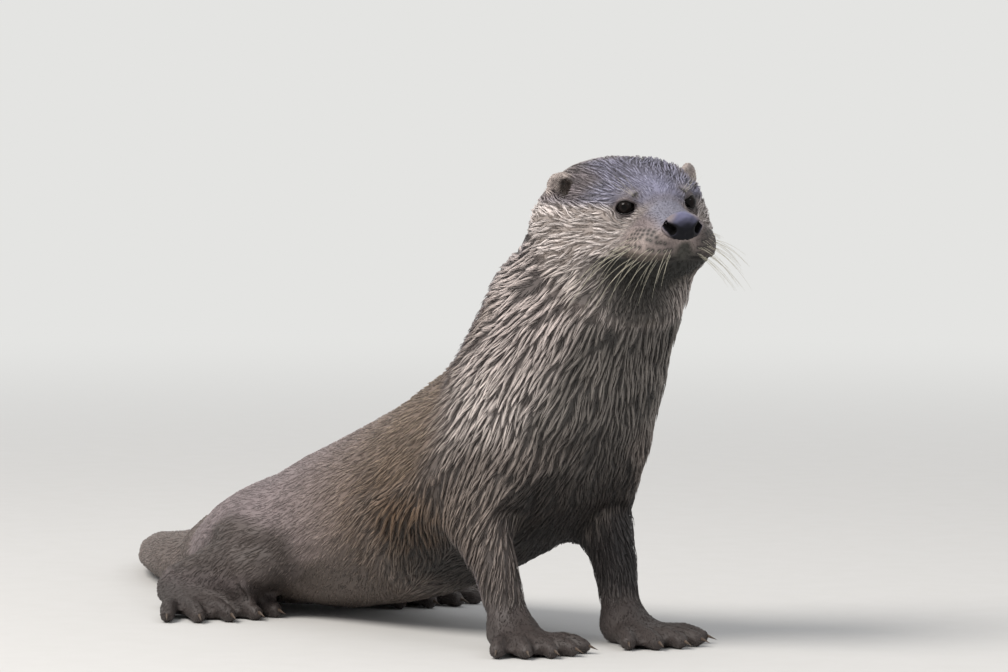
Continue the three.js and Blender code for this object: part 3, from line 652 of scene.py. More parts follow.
def add(tree, kind, settings=None, values=None, links=None):
    """Adds a shader node with its own settings, its input values and the sockets that feed it."""
    made = tree.nodes.new(kind)
    for name, value in (settings or {}).items():
        setattr(made, name, value)
    for name, value in (values or {}).items():
        made.inputs[name].default_value = value
    for name, source in (links or {}).items():
        tree.links.new(source, made.inputs[name])
    return made


def new_material(name, **looks):
    """A material with its output and one Principled shader with these looks, ready for its pattern."""
    material = bpy.data.materials.new(name)
    material.use_nodes = True
    tree = material.node_tree
    tree.nodes.clear()
    values = {key.replace("_", " "): value for key, value in looks.items()}
    shader = add(tree, "ShaderNodeBsdfPrincipled", values=values)
    add(tree, "ShaderNodeOutputMaterial", links={"Surface": shader.outputs[0]})
    return material, tree, shader


# Single hairs are too fine to show, so the fine mottle is as wide as a few of them, 0.8 mm. The coat's
# broad light and dark patches are about 35 mm across.
HAIRS_ACROSS, PATCH_ACROSS = 0.0008, 0.035


def hair_colour(tree, along):
    """Underfur colour at a hair's root and guard-hair colour at its tip, each read from the markings."""
    tip = add(tree, "ShaderNodeAttribute", {"attribute_name": "tip_colour"})
    root = add(tree, "ShaderNodeAttribute", {"attribute_name": "root_colour"})
    tone = add(tree, "ShaderNodeAttribute", {"attribute_name": "tone"})
    where = add(tree, "ShaderNodeTexCoord")
    patches = add(tree, "ShaderNodeTexNoise", values={"Scale": 1 / PATCH_ACROSS, "Detail": 3.0},
                  links={"Vector": where.outputs["Object"]})
    hairs = add(tree, "ShaderNodeTexNoise", values={"Scale": 1 / HAIRS_ACROSS, "Detail": 2.0},
                links={"Vector": where.outputs["Object"]})
    shade = add(tree, "ShaderNodeMapRange",
                values={"From Min": 0.3, "From Max": 0.7, "To Min": 0.86, "To Max": 1.12},
                links={"Value": patches.outputs["Fac"]})
    fine = add(tree, "ShaderNodeMapRange",
               values={"From Min": 0.3, "From Max": 0.7, "To Min": 0.85, "To Max": 1.15},
               links={"Value": hairs.outputs["Fac"]})
    both = add(tree, "ShaderNodeMath", {"operation": "MULTIPLY"},
               links={0: shade.outputs[0], 1: fine.outputs[0]})
    every = add(tree, "ShaderNodeMath", {"operation": "MULTIPLY"},
                links={0: both.outputs[0], 1: tone.outputs["Fac"]})
    mixed = add(tree, "ShaderNodeMix", {"data_type": "RGBA"},
                links={"Factor": along, 6: root.outputs["Color"], 7: tip.outputs["Color"]})
    toned = add(tree, "ShaderNodeVectorMath", {"operation": "SCALE"},
                links={0: mixed.outputs[2], "Scale": every.outputs[0]})
    return toned.outputs[0], hairs.outputs["Fac"]


# Hide under short underfur: dull, with a fine nap that the light catches only at the edges. It shows
# mostly the underfur's colour, darker where it is wet and paler where the guard hairs are short.
UNDERFUR, WET_DARKER, SHORT_PALER = 0.25, 0.12, 0.5
skin_material, tree, shader = new_material("underfur_on_hide", Roughness=0.62, IOR=1.5)
depth = add(tree, "ShaderNodeAttribute", {"attribute_name": "along"})
colour, nap = hair_colour(tree, depth.outputs["Fac"])
tree.links.new(colour, shader.inputs["Base Color"])
nap_bump = add(tree, "ShaderNodeBump", values={"Strength": 0.35, "Distance": 0.0003}, links={"Height": nap})
tree.links.new(nap_bump.outputs[0], shader.inputs["Normal"])


def mark(mesh, name, values, kind="FLOAT"):
    """Stores a value or a colour at each point of a mesh, for its material to read."""
    made = mesh.attributes.new(name, kind, "POINT")
    field = "color" if kind == "FLOAT_COLOR" else "value"
    made.data.foreach_set(field, np.asarray(values, np.float32).ravel())


mark(skin_mesh, "tip_colour", coat["tip"], "FLOAT_COLOR")
mark(skin_mesh, "root_colour", coat["root"], "FLOAT_COLOR")
mark(skin_mesh, "tone", np.ones(skin_count))
short_hair = head_part * ramp(-coat["length"][:, 0], -5, -2)
mark(skin_mesh, "along", UNDERFUR - WET_DARKER * wet + SHORT_PALER * short_hair)
skin_mesh.shade_smooth()
skin = place("otter_skin", skin_mesh, skin_material)
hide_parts(*flesh)

# The hide is unwrapped once. Each tuft of the coat takes its place in the map from its root.
bpy.context.view_layer.objects.active = skin
skin.select_set(True)
bpy.ops.object.mode_set(mode="EDIT")
bpy.ops.mesh.select_all(action="SELECT")
bpy.ops.uv.smart_project(angle_limit=math.radians(66), island_margin=0.002)
bpy.ops.object.mode_set(mode="OBJECT")
skin.select_set(False)
skin_mesh.uv_layers[0].name = "OFBake"
skin_uv = read(skin_mesh.uv_layers["OFBake"].uv, "vector", 2)

# The coat. Damp guard hairs cling together in locks, so each tuft is a thin three-sided blade that
# starts in the skin, follows the lie over it and leans in to the middle of its lock.
PATCH = 0.003
COAT_LIMIT = 190000
LOCK_STOPS = 6
LOCK_HALF, RIDGE_HIGH, RIDGE_SHARP = 0.46, 0.5, 1.6
LOCK_CROWD = 0.75
WAVE_BLUR = 45
PAST_TIP = 1.4
ROOT_SUNK = 0.0005
# Each blade's lower corners take a share of its colour: painted shade on the blade's underside.
BLADE_HIGH, BLADE_UNDERSIDE_SHADE = 0.75, 0.75
# How much locks and hairs differ, as shares of their zone's sizes.
LOCK_LONG, LOCK_STAND, LOCK_TONE = (0.8, 1.3), (0.7, 1.4), (0.84, 1.16)
HAIR_LONG, HAIR_WIDE, HAIR_STAND, HAIR_TONE = (0.6, 1.0), (0.75, 1.25), (0.6, 1.5), (0.82, 1.18)
HAIR_TURN = 0.3
# One hair in four has come loose of its lock and lies low in the gap beside it, painted darker
# there as shade.
LOOSE, LOOSE_GATHER, LOOSE_SHADE, LOOSE_TIP_SHADE = 0.25, 0.3, 0.72, 0.5
KERATIN = 1.55


def guard_hair(name, rough):
    """Hair in the zone's colours, rough by a share."""
    material, tree, shader = new_material(name, Roughness=rough, IOR=KERATIN)
    depth = add(tree, "ShaderNodeAttribute", {"attribute_name": "along"})
    colour, _ = hair_colour(tree, depth.outputs["Fac"])
    tree.links.new(colour, shader.inputs["Base Color"])
    return material


# Guard hairs are glassy keratin: damp ones on the neck shine along the lock, dry ones are duller.
damp_hair = guard_hair("damp_guard_hair", 0.42)
dry_hair = guard_hair("dry_guard_hair", 0.6)


def seeded(faces, apart, rng):
    """Random places on chosen faces of the skin, about as far apart as asked on each face."""
    weight = face_area[faces] / (apart[faces] * MM) ** 2
    picked = rng.choice(faces, int(weight.sum()), p=weight / weight.sum())
    share = rng.random((len(picked), 2))
    share[share.sum(1) > 1] = 1 - share[share.sum(1) > 1]
    share = np.column_stack([1 - share.sum(1), share])
    return picked, share


def combed(places, faces, turn, reach, stops):
    """Walks over the skin from each place with the lie and its waves: where each stop is, and its face."""
    rows = []
    here, on = places, faces
    last = 0.0
    for stop in stops:
        if stop > 0:
            normal = unit(skin_normals[skin_faces[on]].mean(1))
            way = unit(lie[skin_faces[on]].mean(1))
            aside = turn + face_looks["sway"][on] * face_wave[on]
            way = way * np.cos(aside)[:, None] + np.cross(normal, way) * np.sin(aside)[:, None]
            ahead = here + way * (reach * (stop - last))[:, None]
            found = [skin_tree.find_nearest(p) for p in ahead.tolist()]
            here = np.array([f[0] for f in found])
            on = np.array([f[2] for f in found])
            last = stop
        rows.append((here, on))
    return rows


face_looks = {key: coat[key][skin_faces].mean(1)[:, 0] for key in TUFT_SIZES}
face_looks["lock_apart"] = np.sqrt(LOCK_CROWD * face_looks["lock"] * face_looks["length"])
wave = net.blurred(np.random.default_rng(5).normal(0, 1, skin_count), WAVE_BLUR)
face_wave = (wave / wave.std())[skin_faces].mean(1)


def along_rows(rows, share):
    """Places at shares of the way along each row of stops, carried straight on a little past its end."""
    spot = np.clip(share, 0, PAST_TIP) * (len(rows) - 1)
    before = np.minimum(spot.astype(int), len(rows) - 2)
    part_way = (spot - before)[:, None]
    every = np.arange(rows.shape[1])
    return rows[before, every] * (1 - part_way) + rows[before + 1, every] * part_way


def grow(name, chosen, material, rings, seed):
    """Grows the tufts rooted on the chosen faces, in pieces small enough to carry about."""
    rng = np.random.default_rng(seed)
    faces = np.nonzero(chosen)[0]
    stops = np.linspace(0, 1, rings)

    # The middle lines of the locks, each walked out over the skin and lifted towards its tip.
    lock_face, lock_share = seeded(faces, face_looks["lock_apart"], rng)
    lock_place = (skin_points[skin_faces[lock_face]] * lock_share[:, :, None]).sum(1)
    lock_turn = rng.normal(0, 1, len(lock_face)) * face_looks["sway"][lock_face]
    lock_reach = face_looks["length"][lock_face] * MM * rng.uniform(*LOCK_LONG, len(lock_face))
    lock_stops = np.linspace(0, 1, LOCK_STOPS)
    lock_rows = combed(lock_place, lock_face, lock_turn, lock_reach, lock_stops)
    lock_lines = np.array([here for here, _ in lock_rows])
    lock_normals = np.array([unit(skin_normals[skin_faces[on]].mean(1)) for _, on in lock_rows])
    lock_tone = rng.uniform(*LOCK_TONE, len(lock_face))
    lock_stand = face_looks["stand"][lock_face] * rng.uniform(*LOCK_STAND, len(lock_face))
    finder = KDTree(len(lock_face) * (LOCK_STOPS - 1))
    for i, p in enumerate(lock_lines[:-1].reshape(-1, 3).tolist()):
        finder.insert(p, i)
    finder.balance()

    # Each tuft joins the lock whose middle line passes nearest its root.
    face, share = seeded(faces, face_looks["apart"], rng)
    root = (skin_points[skin_faces[face]] * share[:, :, None]).sum(1)
    joins = np.array([finder.find(p)[1] for p in root.tolist()])
    joins_at, of_lock = joins // len(lock_face) / (LOCK_STOPS - 1), joins % len(lock_face)
    count = len(root)
    turn = lock_turn[of_lock] + rng.normal(0, HAIR_TURN, count) * face_looks["sway"][face]
    reach = face_looks["length"][face] * MM * rng.uniform(*HAIR_LONG, count)
    own_rows = combed(root, face, turn, reach, stops)
    loose = rng.random(count) < LOOSE * ramp(face_looks["gather"][face], 0.4, 0.8)
    gather = face_looks["gather"][face] * np.where(loose, LOOSE_GATHER, 1.0)
    wide = face_looks["width"][face] * MM * rng.uniform(*HAIR_WIDE, count)
    stand = face_looks["stand"][face] * rng.uniform(*HAIR_STAND, count)
    lock_half = face_looks["lock"][face] * MM * LOCK_HALF
    root_uv = (skin_uv[skin_loops[face]] * share[:, :, None]).sum(1)
    # A loose hair's tone is darkened as painted shade in the gap; otherwise the tone differs at random.
    tone = lock_tone[of_lock] * rng.uniform(*HAIR_TONE, count) * np.where(loose, LOOSE_SHADE, 1.0)

    spine, spine_normal, on_faces, ridge_light_and_tip = [], [], [], []
    for k, stop in enumerate(stops):
        own, own_on = own_rows[k]
        lean = (gather * stop ** 0.8)[:, None]
        at_share = joins_at + stop * reach / lock_reach[of_lock]
        line = along_rows(lock_lines[:, of_lock], at_share)
        normal = unit(along_rows(lock_normals[:, of_lock], at_share))
        aside = line - own
        way = lie[skin_faces[own_on, 0]]
        aside -= np.sum(aside * way, 1)[:, None] * way
        off_ridge = np.linalg.norm(aside, axis=1) * (1 - lean[:, 0])
        near_ridge = np.exp(-((off_ridge / lock_half) ** 2) * RIDGE_SHARP)
        arch = wide * 0.25 * math.sin(math.pi * min(stop + 0.1, 1))
        lift = (1 - gather) * reach * stand * stop ** 1.3
        lift += gather * lock_reach[of_lock] * lock_stand[of_lock] * np.clip(at_share, 0, 1) ** 1.5
        lift += gather * near_ridge * lock_half * RIDGE_HIGH + arch
        lift -= ROOT_SUNK * (stop == 0)
        spine.append(own * (1 - lean) + line * lean + normal * lift[:, None])
        spine_normal.append(normal)
        on_faces.append(own_on)
        # The colour share paints the locks: near a lock's ridge a hair takes the pale tip colour as a
        # painted highlight, and off it the dark root colour as painted shade in the gaps. Loose and
        # ungathered hairs run from root colour to tip colour along their length.
        own_depth = (1 - gather) * (0.35 + 0.65 * stop) * np.where(loose, LOOSE_TIP_SHADE, 1.0)
        ridge_light_and_tip.append(gather * near_ridge + own_depth)
    spine, spine_normal = np.array(spine), np.array(spine_normal)

    ahead = unit(np.gradient(spine, axis=0))
    across = unit(np.cross(spine_normal, ahead))
    above = np.cross(ahead, across)
    points, marks = [], {"tip_colour": [], "root_colour": [], "along": [], "tone": []}
    uvs = []
    # A blade is widest about a third of the way up and is drawn out to a point.
    for k, stop in enumerate(stops):
        half = wide * 0.5 * (1 - stop) ** 0.7 * (0.8 + 0.6 * math.sin(math.pi * stop))
        corners = [(-1, 0), (1, 0), (0, BLADE_HIGH)] if k < rings - 1 else [(0, 0)]
        for side, high in corners:
            points.append(spine[k] + across[k] * (half * side)[:, None] + above[k] * (half * high)[:, None])
            on = skin_faces[on_faces[k]]
            marks["tip_colour"].append(coat["tip"][on].mean(1))
            marks["root_colour"].append(coat["root"][on].mean(1))
            # Painted shade: a blade's two lower corners are darker than its top corner.
            marks["along"].append(ridge_light_and_tip[k] * (1.0 if high > 0 or k == rings - 1 else BLADE_UNDERSIDE_SHADE))
            marks["tone"].append(tone)
            uvs.append(root_uv + PATCH * np.array([side * 0.45 * (1 - stop), stop - 0.5]))
    points = np.stack(points, 1)
    marks = {key: np.stack(values, 1) for key, values in marks.items()}
    uvs = np.stack(uvs, 1)

    # The faces of one blade: closed at the root, three sides, and a point.
    blade = [[0, 2, 1]]
    for k in range(rings - 2):
        for a, b in ((0, 1), (1, 2), (2, 0)):
            blade += [[3 * k + a, 3 * k + b, 3 * k + b + 3], [3 * k + a, 3 * k + b + 3, 3 * k + a + 3]]
    last = 3 * (rings - 2)
    blade += [[last + a, last + b, last + 3] for a, b in ((0, 1), (1, 2), (2, 0))]
    blade = np.array(blade)

    order = np.argsort(from_nose[skin_faces[face, 0]])
    pieces = math.ceil(count * len(blade) / COAT_LIMIT)
    for number, group in enumerate(np.array_split(order, pieces), 1):
        faces_here = (blade[None] + (np.arange(len(group)) * points.shape[1])[:, None, None]).reshape(-1, 3)
        mesh = mesh_from(f"{name}_{number}", points[group].reshape(-1, 3), faces_here)
        for key, values in marks.items():
            kind = "FLOAT_COLOR" if values.ndim == 3 else "FLOAT"
            mark(mesh, key, values[group], kind)
        mesh.uv_layers.new(name="OFBake")
        flat = uvs[group].reshape(-1, 2)[faces_here.ravel()]
        mesh.uv_layers["OFBake"].uv.foreach_set("vector", flat.astype(np.float32).ravel())
        piece = place(f"{name}_{number}", mesh, material)


def most(share):
    """The faces of the skin of which more than half has this share."""
    return share[skin_faces].mean(1) > 0.5


# The nose, the lips, the lid rims and the whisker follicles are bare.
LID_RIM = 0.9
no_hair = (nose_part > 0.35) | (lips > 0.55) | (nostril_shade > 0.5) | (spots > 0.3)
for name, side in zip(eye_names, (1, -1)):
    eye_at = to_head(middle(name))
    offset = (at_head - eye_at) @ eye_axes(side).T
    edge = lid_reach(np.arctan2(offset[:, 1], offset[:, 0])) + LID_RIM
    in_front = (offset[:, 2] > 0) & (offset[:, 2] < 1.5 * EYE_RADIUS)
    no_hair |= (np.hypot(offset[:, 0], offset[:, 1]) < edge) & in_front
hairy = ~most(no_hair * 1.0)

on_head = most(head_part)
on_face = on_head & most(np.maximum(muzzle, np.maximum(eye_ring, brow)))
on_paws = most(paws_part) & ~on_head
on_wet = most(wet) & ~on_head & ~on_paws
rest = ~(on_head | on_paws | on_wet)
grow("face_fur", hairy & on_face, dry_hair, 3, 11)
grow("head_fur", hairy & on_head & ~on_face, damp_hair, 4, 12)
grow("neck_fur", on_wet, damp_hair, 4, 13)
grow("body_fur", rest, dry_hair, 3, 14)
grow("paw_fur", on_paws, damp_hair, 3, 15)

# Eyes: dark brown, nearly black balls behind a wet cornea. The iris shows only as a warmer ring.
# The cornea is a thin wet dome with the index of water, so it mirrors only a little of the room.
# Each band of the ball's colour starts at an angle from the middle of the pupil, in radians.
EYE_BANDS = [(0.26, "#030202"), (0.34, "#150e0b"), (0.72, "#0d0908"), (0.8, "#080605")]
CORNEA_HIGH, CORNEA_WIDE = 0.04, 0.18
BALL_GAP = 0.05
LID_POINTS = 96
eye_material, tree, shader = new_material(
    "wet_eyeball", Roughness=0.3, Specular_IOR_Level=0.0,
    Coat_Weight=0.5, Coat_IOR=1.336, Coat_Roughness=0.05,
)
from_pupil = add(tree, "ShaderNodeAttribute", {"attribute_name": "from_pupil"})
iris = add(tree, "ShaderNodeValToRGB", links={"Fac": from_pupil.outputs["Fac"]})
bands = iris.color_ramp.elements
for i, (angle, colour) in enumerate(EYE_BANDS):
    band = bands[i] if i < 2 else bands.new(angle)
    band.position, band.color = angle, linear(colour)
tree.links.new(iris.outputs["Color"], shader.inputs["Base Color"])


def ball(around, down):
    """The points and faces of a unit ball with its pole on z."""
    theta = np.linspace(0, math.pi, down + 1)[1:-1]
    phi = np.linspace(0, 2 * math.pi, around, endpoint=False)
    rows = np.stack([
        np.outer(np.sin(theta), np.cos(phi)),
        np.outer(np.sin(theta), np.sin(phi)),
        np.outer(np.cos(theta), np.ones(around)),
    ], 2).reshape(-1, 3)
    points = np.vstack([rows, [[0, 0, 1], [0, 0, -1]]])
    top, bottom = len(rows), len(rows) + 1
    faces = []
    for i in range(around):
        j = (i + 1) % around
        faces.append([top, i, j])
        faces.append([bottom, (down - 2) * around + j, (down - 2) * around + i])
        for k in range(down - 2):
            a, b = k * around + i, k * around + j
            faces += [[a, a + around, b + around], [a, b + around, b]]
    return points, np.array(faces)


LID_SECTION = [
    # out from the opening's edge, over the ball
    (-0.1, -0.9), (-0.15, 0.0), (0.0, 0.32), (0.35, 0.5),
    (0.75, 0.48), (1.15, 0.2), (1.4, -0.5), (0.8, -1.2),
]
LID_TURN_IN, LID_SLOPE = 5.6, 0.8


def tube_ring(rows):
    """Faces that join closed rows of points, each with as many points, into a ring of quads."""
    count, across = rows.shape[:2]
    i, j = np.meshgrid(np.arange(count), np.arange(across), indexing="ij")
    beside, ahead = (j + 1) % across, (i + 1) % count
    corners = [i * across + j, i * across + beside, ahead * across + beside, ahead * across + j]
    return np.stack(corners, 2).reshape(-1, 4)


def mottled(tree, grain, dark, light, detail=2.0):
    """Two colours in soft clouds of one size, in metres: the colour here, and the cloud's height."""
    where = add(tree, "ShaderNodeTexCoord")
    clouds = add(tree, "ShaderNodeTexNoise", values={"Scale": 1 / grain, "Detail": detail},
                 links={"Vector": where.outputs["Object"]})
    mixed = add(tree, "ShaderNodeMix", {"data_type": "RGBA"}, {6: linear(dark), 7: linear(light)},
                {"Factor": clouds.outputs["Fac"]})
    return mixed.outputs[2], clouds.outputs["Fac"]


# Bare lid skin: thin, dark and slightly moist, with creases 0.6 mm apart, and paler away from the
# eye. The upper lid is painted darker than the lower one, partly as the shade under the brow.
lid_material, tree, shader = new_material("bare_lid_skin", Roughness=0.38)
lid_inner, creases = mottled(tree, 0.0006, "#0f0b0b", "#221a1b")
outward = add(tree, "ShaderNodeAttribute", {"attribute_name": "outward"})
lid_colour = add(tree, "ShaderNodeMix", {"data_type": "RGBA"}, {7: linear("#4d4344")},
                 {"Factor": outward.outputs["Fac"], 6: lid_inner})
tree.links.new(lid_colour.outputs[2], shader.inputs["Base Color"])
lid_bump = add(tree, "ShaderNodeBump", values={"Strength": 0.3, "Distance": 0.0002},
               links={"Height": creases})
tree.links.new(lid_bump.outputs[0], shader.inputs["Normal"])

for name, side in zip(eye_names, (1, -1)):
    eye_at = to_head(middle(name))
    axes = eye_axes(side)
    points, faces = ball(48, 32)
    bulge = 1 + CORNEA_HIGH * np.exp(-((1 - points[:, 2]) / CORNEA_WIDE) ** 2)
    places = eye_at + (points * bulge[:, None] * (EYE_RADIUS - BALL_GAP)) @ axes
    if side < 0:
        faces = faces[:, ::-1]
    mesh = mesh_from(f"eyeball_{name[4:]}", from_head(places), faces)
    mark(mesh, "from_pupil", np.arccos(np.clip(points[:, 2], -1, 1)))
    eyeball = place(f"eyeball_{name[4:]}", mesh, eye_material)
    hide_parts(name)

    angles = np.linspace(0, 2 * math.pi, LID_POINTS, endpoint=False)
    reach = lid_reach(angles)
    rows = []
    for out_by, over in LID_SECTION:
        away = reach + out_by
        height = np.sqrt(np.maximum((EYE_RADIUS + over) ** 2 - np.minimum(away, LID_TURN_IN) ** 2, 0.5))
        height -= LID_SLOPE * np.maximum(away - LID_TURN_IN, 0)
        rows.append(np.stack([away * np.cos(angles), away * np.sin(angles), height], 1))
    rows = np.stack(rows, 1)
    faces = tube_ring(rows)
    if side > 0:
        faces = faces[:, ::-1]
    mesh = mesh_from(f"eyelid_{name[4:]}", from_head(eye_at + rows.reshape(-1, 3) @ axes), faces)
    # The lower lid takes more of the paler colour; the darker upper lid is partly painted shade.
    lower = 0.45 - 0.55 * np.sin(angles)
    mark(mesh, "outward", np.outer(lower, ramp(np.array(LID_SECTION)[:, 0], 0.0, 1.0)))
    lid = place(f"eyelid_{name[4:]}", mesh, lid_material)

# The nose pad: bare, blue-black, with a fine cobble like leather and a moist sheen on top, shown
# partly by its shine and partly painted into its colour as a paler, bluer top. Each nostril is a
# comma, a round hole at the front with a slit that runs up, back and outward, and the wing of skin
# round it is as pale as the muzzle.
NOSTRIL_WIDE, SLIT_WIDE = 3.8, 2.3
NOSTRIL_DEEP = 5.2
NOSE_CELL, NOSE_ROUNDED = 0.35, 400
NOSE_MIDDLE = [85, 0, -9]
GROOVE_DEEP, RIM_HIGH, TIP_DROP = 0.3, 0.2, 1.4
UPPER_BLUR = 60
nose_points, _, _ = joined(["nose"], 0.0)
nose_hull = bmesh.new()
for p in nose_points:
    nose_hull.verts.new(p)
bmesh.ops.convex_hull(nose_hull, input=nose_hull.verts)
nose_shell = bpy.data.meshes.new("nose_hull")
nose_hull.to_mesh(nose_shell)
nose_hull.free()
hull_points, hull_faces, _ = arrays(nose_shell)
nose_mesh = one_surface("nose_pad", hull_points, hull_faces, NOSE_CELL * MM)
nose_net = Net(nose_mesh)
at_nose = to_head(nose_net.rounded(points_of(nose_mesh), NOSE_ROUNDED))
nose_even = at_nose.copy()
nose_even[:, 1] = np.abs(nose_even[:, 1])
nostril_wide = SLIT_WIDE + (NOSTRIL_WIDE - SLIT_WIDE) * ramp(-nose_even[:, 1], -12.5, -9)
in_nostril = off_line(nose_even, NOSTRIL) / nostril_wide
pit = (1 - ramp(in_nostril, 0.3, 1.0)) * (at_nose[:, 0] > 79)
rim = bump((in_nostril - 1.3) / 0.3, 1) * (at_nose[:, 0] > 80)
groove = bump(at_nose[:, 1] / 0.9, 1) * ramp(-at_nose[:, 2], 9, 15)
inward_here = unit(np.array(NOSE_MIDDLE) - at_nose)
at_nose = at_nose + inward_here * (GROOVE_DEEP * groove - RIM_HIGH * rim)[:, None]
# The pits run back and in towards the middle.
ones = np.ones(len(at_nose))
into = unit(np.column_stack([-ones, -0.75 * np.sign(at_nose[:, 1]), 0 * ones]))
at_nose += into * (NOSTRIL_DEEP * pit)[:, None]
at_nose[:, 2] -= TIP_DROP * bump(at_nose[:, 1] / 7, 1) * ramp(-at_nose[:, 2], 11, 16)
nose_mesh.vertices.foreach_set("co", from_head(at_nose).astype(np.float32).ravel())
nose_mesh.update()
# The nostrils' pits are painted black as their shade, and made dull.
mark(nose_mesh, "nostril", ramp(pit, 0.0, 0.06))
wing_out = nose_even[:, 1] + 0.9 * np.maximum(at_nose[:, 2] + 6, 0)
wing_out += 0.35 * np.maximum(-at_nose[:, 2] - 11, 0)
mark(nose_mesh, "wing", ramp(wing_out, 8.8, 13.4) * ramp(in_nostril, 0.95, 1.2))
# Painted sheen: the pad's upward faces take a paler, bluer colour, as the sky's sheen.
faces_up = nose_net.blurred(point_normals(nose_mesh) @ HEAD_AXES[2], UPPER_BLUR)
mark(nose_mesh, "upper", ramp(faces_up, -0.05, 0.9))

# Blue-black leather with a painted sky sheen on top, as pale as the muzzle on the wings, and
# black and dull in the nostrils, where the black is painted shade.
nose_material, tree, shader = new_material("moist_nose_leather", IOR=1.42, Specular_IOR_Level=0.2)
where = add(tree, "ShaderNodeTexCoord")
cobbles = add(tree, "ShaderNodeTexVoronoi", {"feature": "F1"}, {"Scale": 1 / 0.0007},
              {"Vector": where.outputs["Object"]})
nose_colour, _ = mottled(tree, 0.006, "#08080c", "#14141c", detail=3.0)
# The top colour is a painted sky sheen and the nostril colour is painted shade.
for marking, colour in (("upper", "#6e6e87"), ("wing", "#7d7477"), ("nostril", "#070606")):
    share = add(tree, "ShaderNodeAttribute", {"attribute_name": marking})
    over = add(tree, "ShaderNodeMix", {"data_type": "RGBA"}, {7: linear(colour)},
               {"Factor": share.outputs["Fac"], 6: nose_colour})
    nose_colour = over.outputs[2]
tree.links.new(nose_colour, shader.inputs["Base Color"])
nose_bump = add(tree, "ShaderNodeBump", {"invert": True}, {"Strength": 0.35, "Distance": 0.0002},
                {"Height": cobbles.outputs["Distance"]})
tree.links.new(nose_bump.outputs[0], shader.inputs["Normal"])
hole = add(tree, "ShaderNodeAttribute", {"attribute_name": "nostril"})
dull_hole = add(tree, "ShaderNodeMapRange", values={"To Min": 0.4, "To Max": 1.0},
                links={"Value": hole.outputs["Fac"]})
tree.links.new(dull_hole.outputs[0], shader.inputs["Roughness"])
nose_pad = place("nose_pad", nose_mesh, nose_material)
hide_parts("nose")

# Whiskers: stiff ivory-white bristles of keratin, smooth enough to shine, each rooted in a follicle.
# Only the lower three rows of each pad bear any, longest at the back, and a few stand over each eye.
WHISKER_RINGS, WHISKER_SIDES = 12, 4
ROW_LONG = [0.0, 0.0, 0.3, 0.95, 1.05]
WHISKER_SUNK, WHISKER_STRAY = 0.8, 0.07
STOUT, SLENDER, WHISKER_TIP = 0.1, 0.05, 0.025
whisker_material, tree, shader = new_material("white_bristle", Roughness=0.35, IOR=KERATIN)
bristle, _ = mottled(tree, 0.004, "#b3ab95", "#dfdac8")
tree.links.new(bristle, shader.inputs["Base Color"])
strands = []
for follicle in follicles:
    back, side, row = follicle["back"], follicle["side"], follicle["row"]
    if row >= 0 and ROW_LONG[row] == 0:
        continue
    if row < 0:
        way = np.array([0.15 - 0.3 * back, 0.6 * side, 0.75 - 0.25 * back])
        reach, droop = 17, np.array([-0.3, 0, 0])
    elif side < 0:
        way = np.array([-0.05 - 0.6 * back, -0.45 - 0.5 * back, -0.7 + 0.4 * back])
        reach, droop = 14 + 32 * back, np.array([-0.05, 0.12, -0.5])
    else:
        way = np.array([0.3 - 0.6 * back, 0.85, -0.1 + 0.3 * back - 0.14 * row])
        reach, droop = 24 + 12 * back, np.array([-0.1, 0, -0.3])
    way = unit(way + rng.normal(0, WHISKER_STRAY, 3))
    reach *= rng.uniform(0.8, 1.15) * (1.0 if row < 0 else ROW_LONG[row])
    base = follicle["at"] - way * WHISKER_SUNK
    t = np.linspace(0, 1, WHISKER_RINGS)[:, None]
    line = base + way * reach * t + droop * reach * t ** 2
    ahead = unit(np.gradient(line, axis=0))
    across = unit(np.cross(ahead, [0.3, 0.2, 1.0]))
    above = np.cross(across, ahead)
    thick = (STOUT if row > 2 else SLENDER) * (1 - t) ** 0.6 + WHISKER_TIP
    turns = np.linspace(0, 2 * math.pi, WHISKER_SIDES, endpoint=False)
    rings = [line + (across * math.cos(a) + above * math.sin(a)) * thick for a in turns]
    strands.append(np.stack(rings, 1).reshape(-1, 3))
around = np.arange(WHISKER_SIDES)
beside = (around + 1) % WHISKER_SIDES
one_length = np.stack([around, beside, beside + WHISKER_SIDES, around + WHISKER_SIDES], 1)
whisker_faces = [one_length + k * WHISKER_SIDES for k in range(WHISKER_RINGS - 1)]
whisker_faces.append([around[::-1], around + WHISKER_SIDES * (WHISKER_RINGS - 1)])
whisker_faces = np.concatenate(whisker_faces)
per = WHISKER_RINGS * WHISKER_SIDES
faces = np.concatenate([whisker_faces + i * per for i in range(len(strands))])
whisker_mesh = mesh_from("whiskers", from_head(np.concatenate(strands)), faces)
whiskers = place("whiskers", whisker_mesh, whisker_material)

# Claws: short, blunt, solid horn, one at the end of each toe. They are the nodes themselves, in a
# fairly dull horn that is mottled from dark to paler brown.
claw_material, tree, shader = new_material("claw_horn", Roughness=0.4)
horn_colour, _ = mottled(tree, 0.0015, "#3d332d", "#6b5d51", detail=3.0)
tree.links.new(horn_colour, shader.inputs["Base Color"])
for name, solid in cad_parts.items():
    if name.startswith("claw_"):
        solid.data.materials.clear()
        solid.data.materials.append(claw_material)

# The floor and the light. A plain pale floor that fades into the backdrop far off, one large soft
# lamp from the upper left and a weaker one from the right, under a pale even sky.
BACKDROP = "#e4e4e2"
FLOOR = 60.0
FADE_FROM, FADE_TO = 0.7, 3.0
SKY_STRENGTH = 0.64


def seen_by_eye(tree):
    """1 for rays that bring the picture, also mirrored or through glass, and 0 for those that light it."""
    ray = add(tree, "ShaderNodeLightPath")
    mirrored = add(tree, "ShaderNodeMath", {"operation": "MAXIMUM"},
                   links={0: ray.outputs["Is Camera Ray"], 1: ray.outputs["Is Glossy Ray"]})
    seen = add(tree, "ShaderNodeMath", {"operation": "MAXIMUM"},
               links={0: mirrored.outputs[0], 1: ray.outputs["Is Transmission Ray"]})
    return seen.outputs[0]


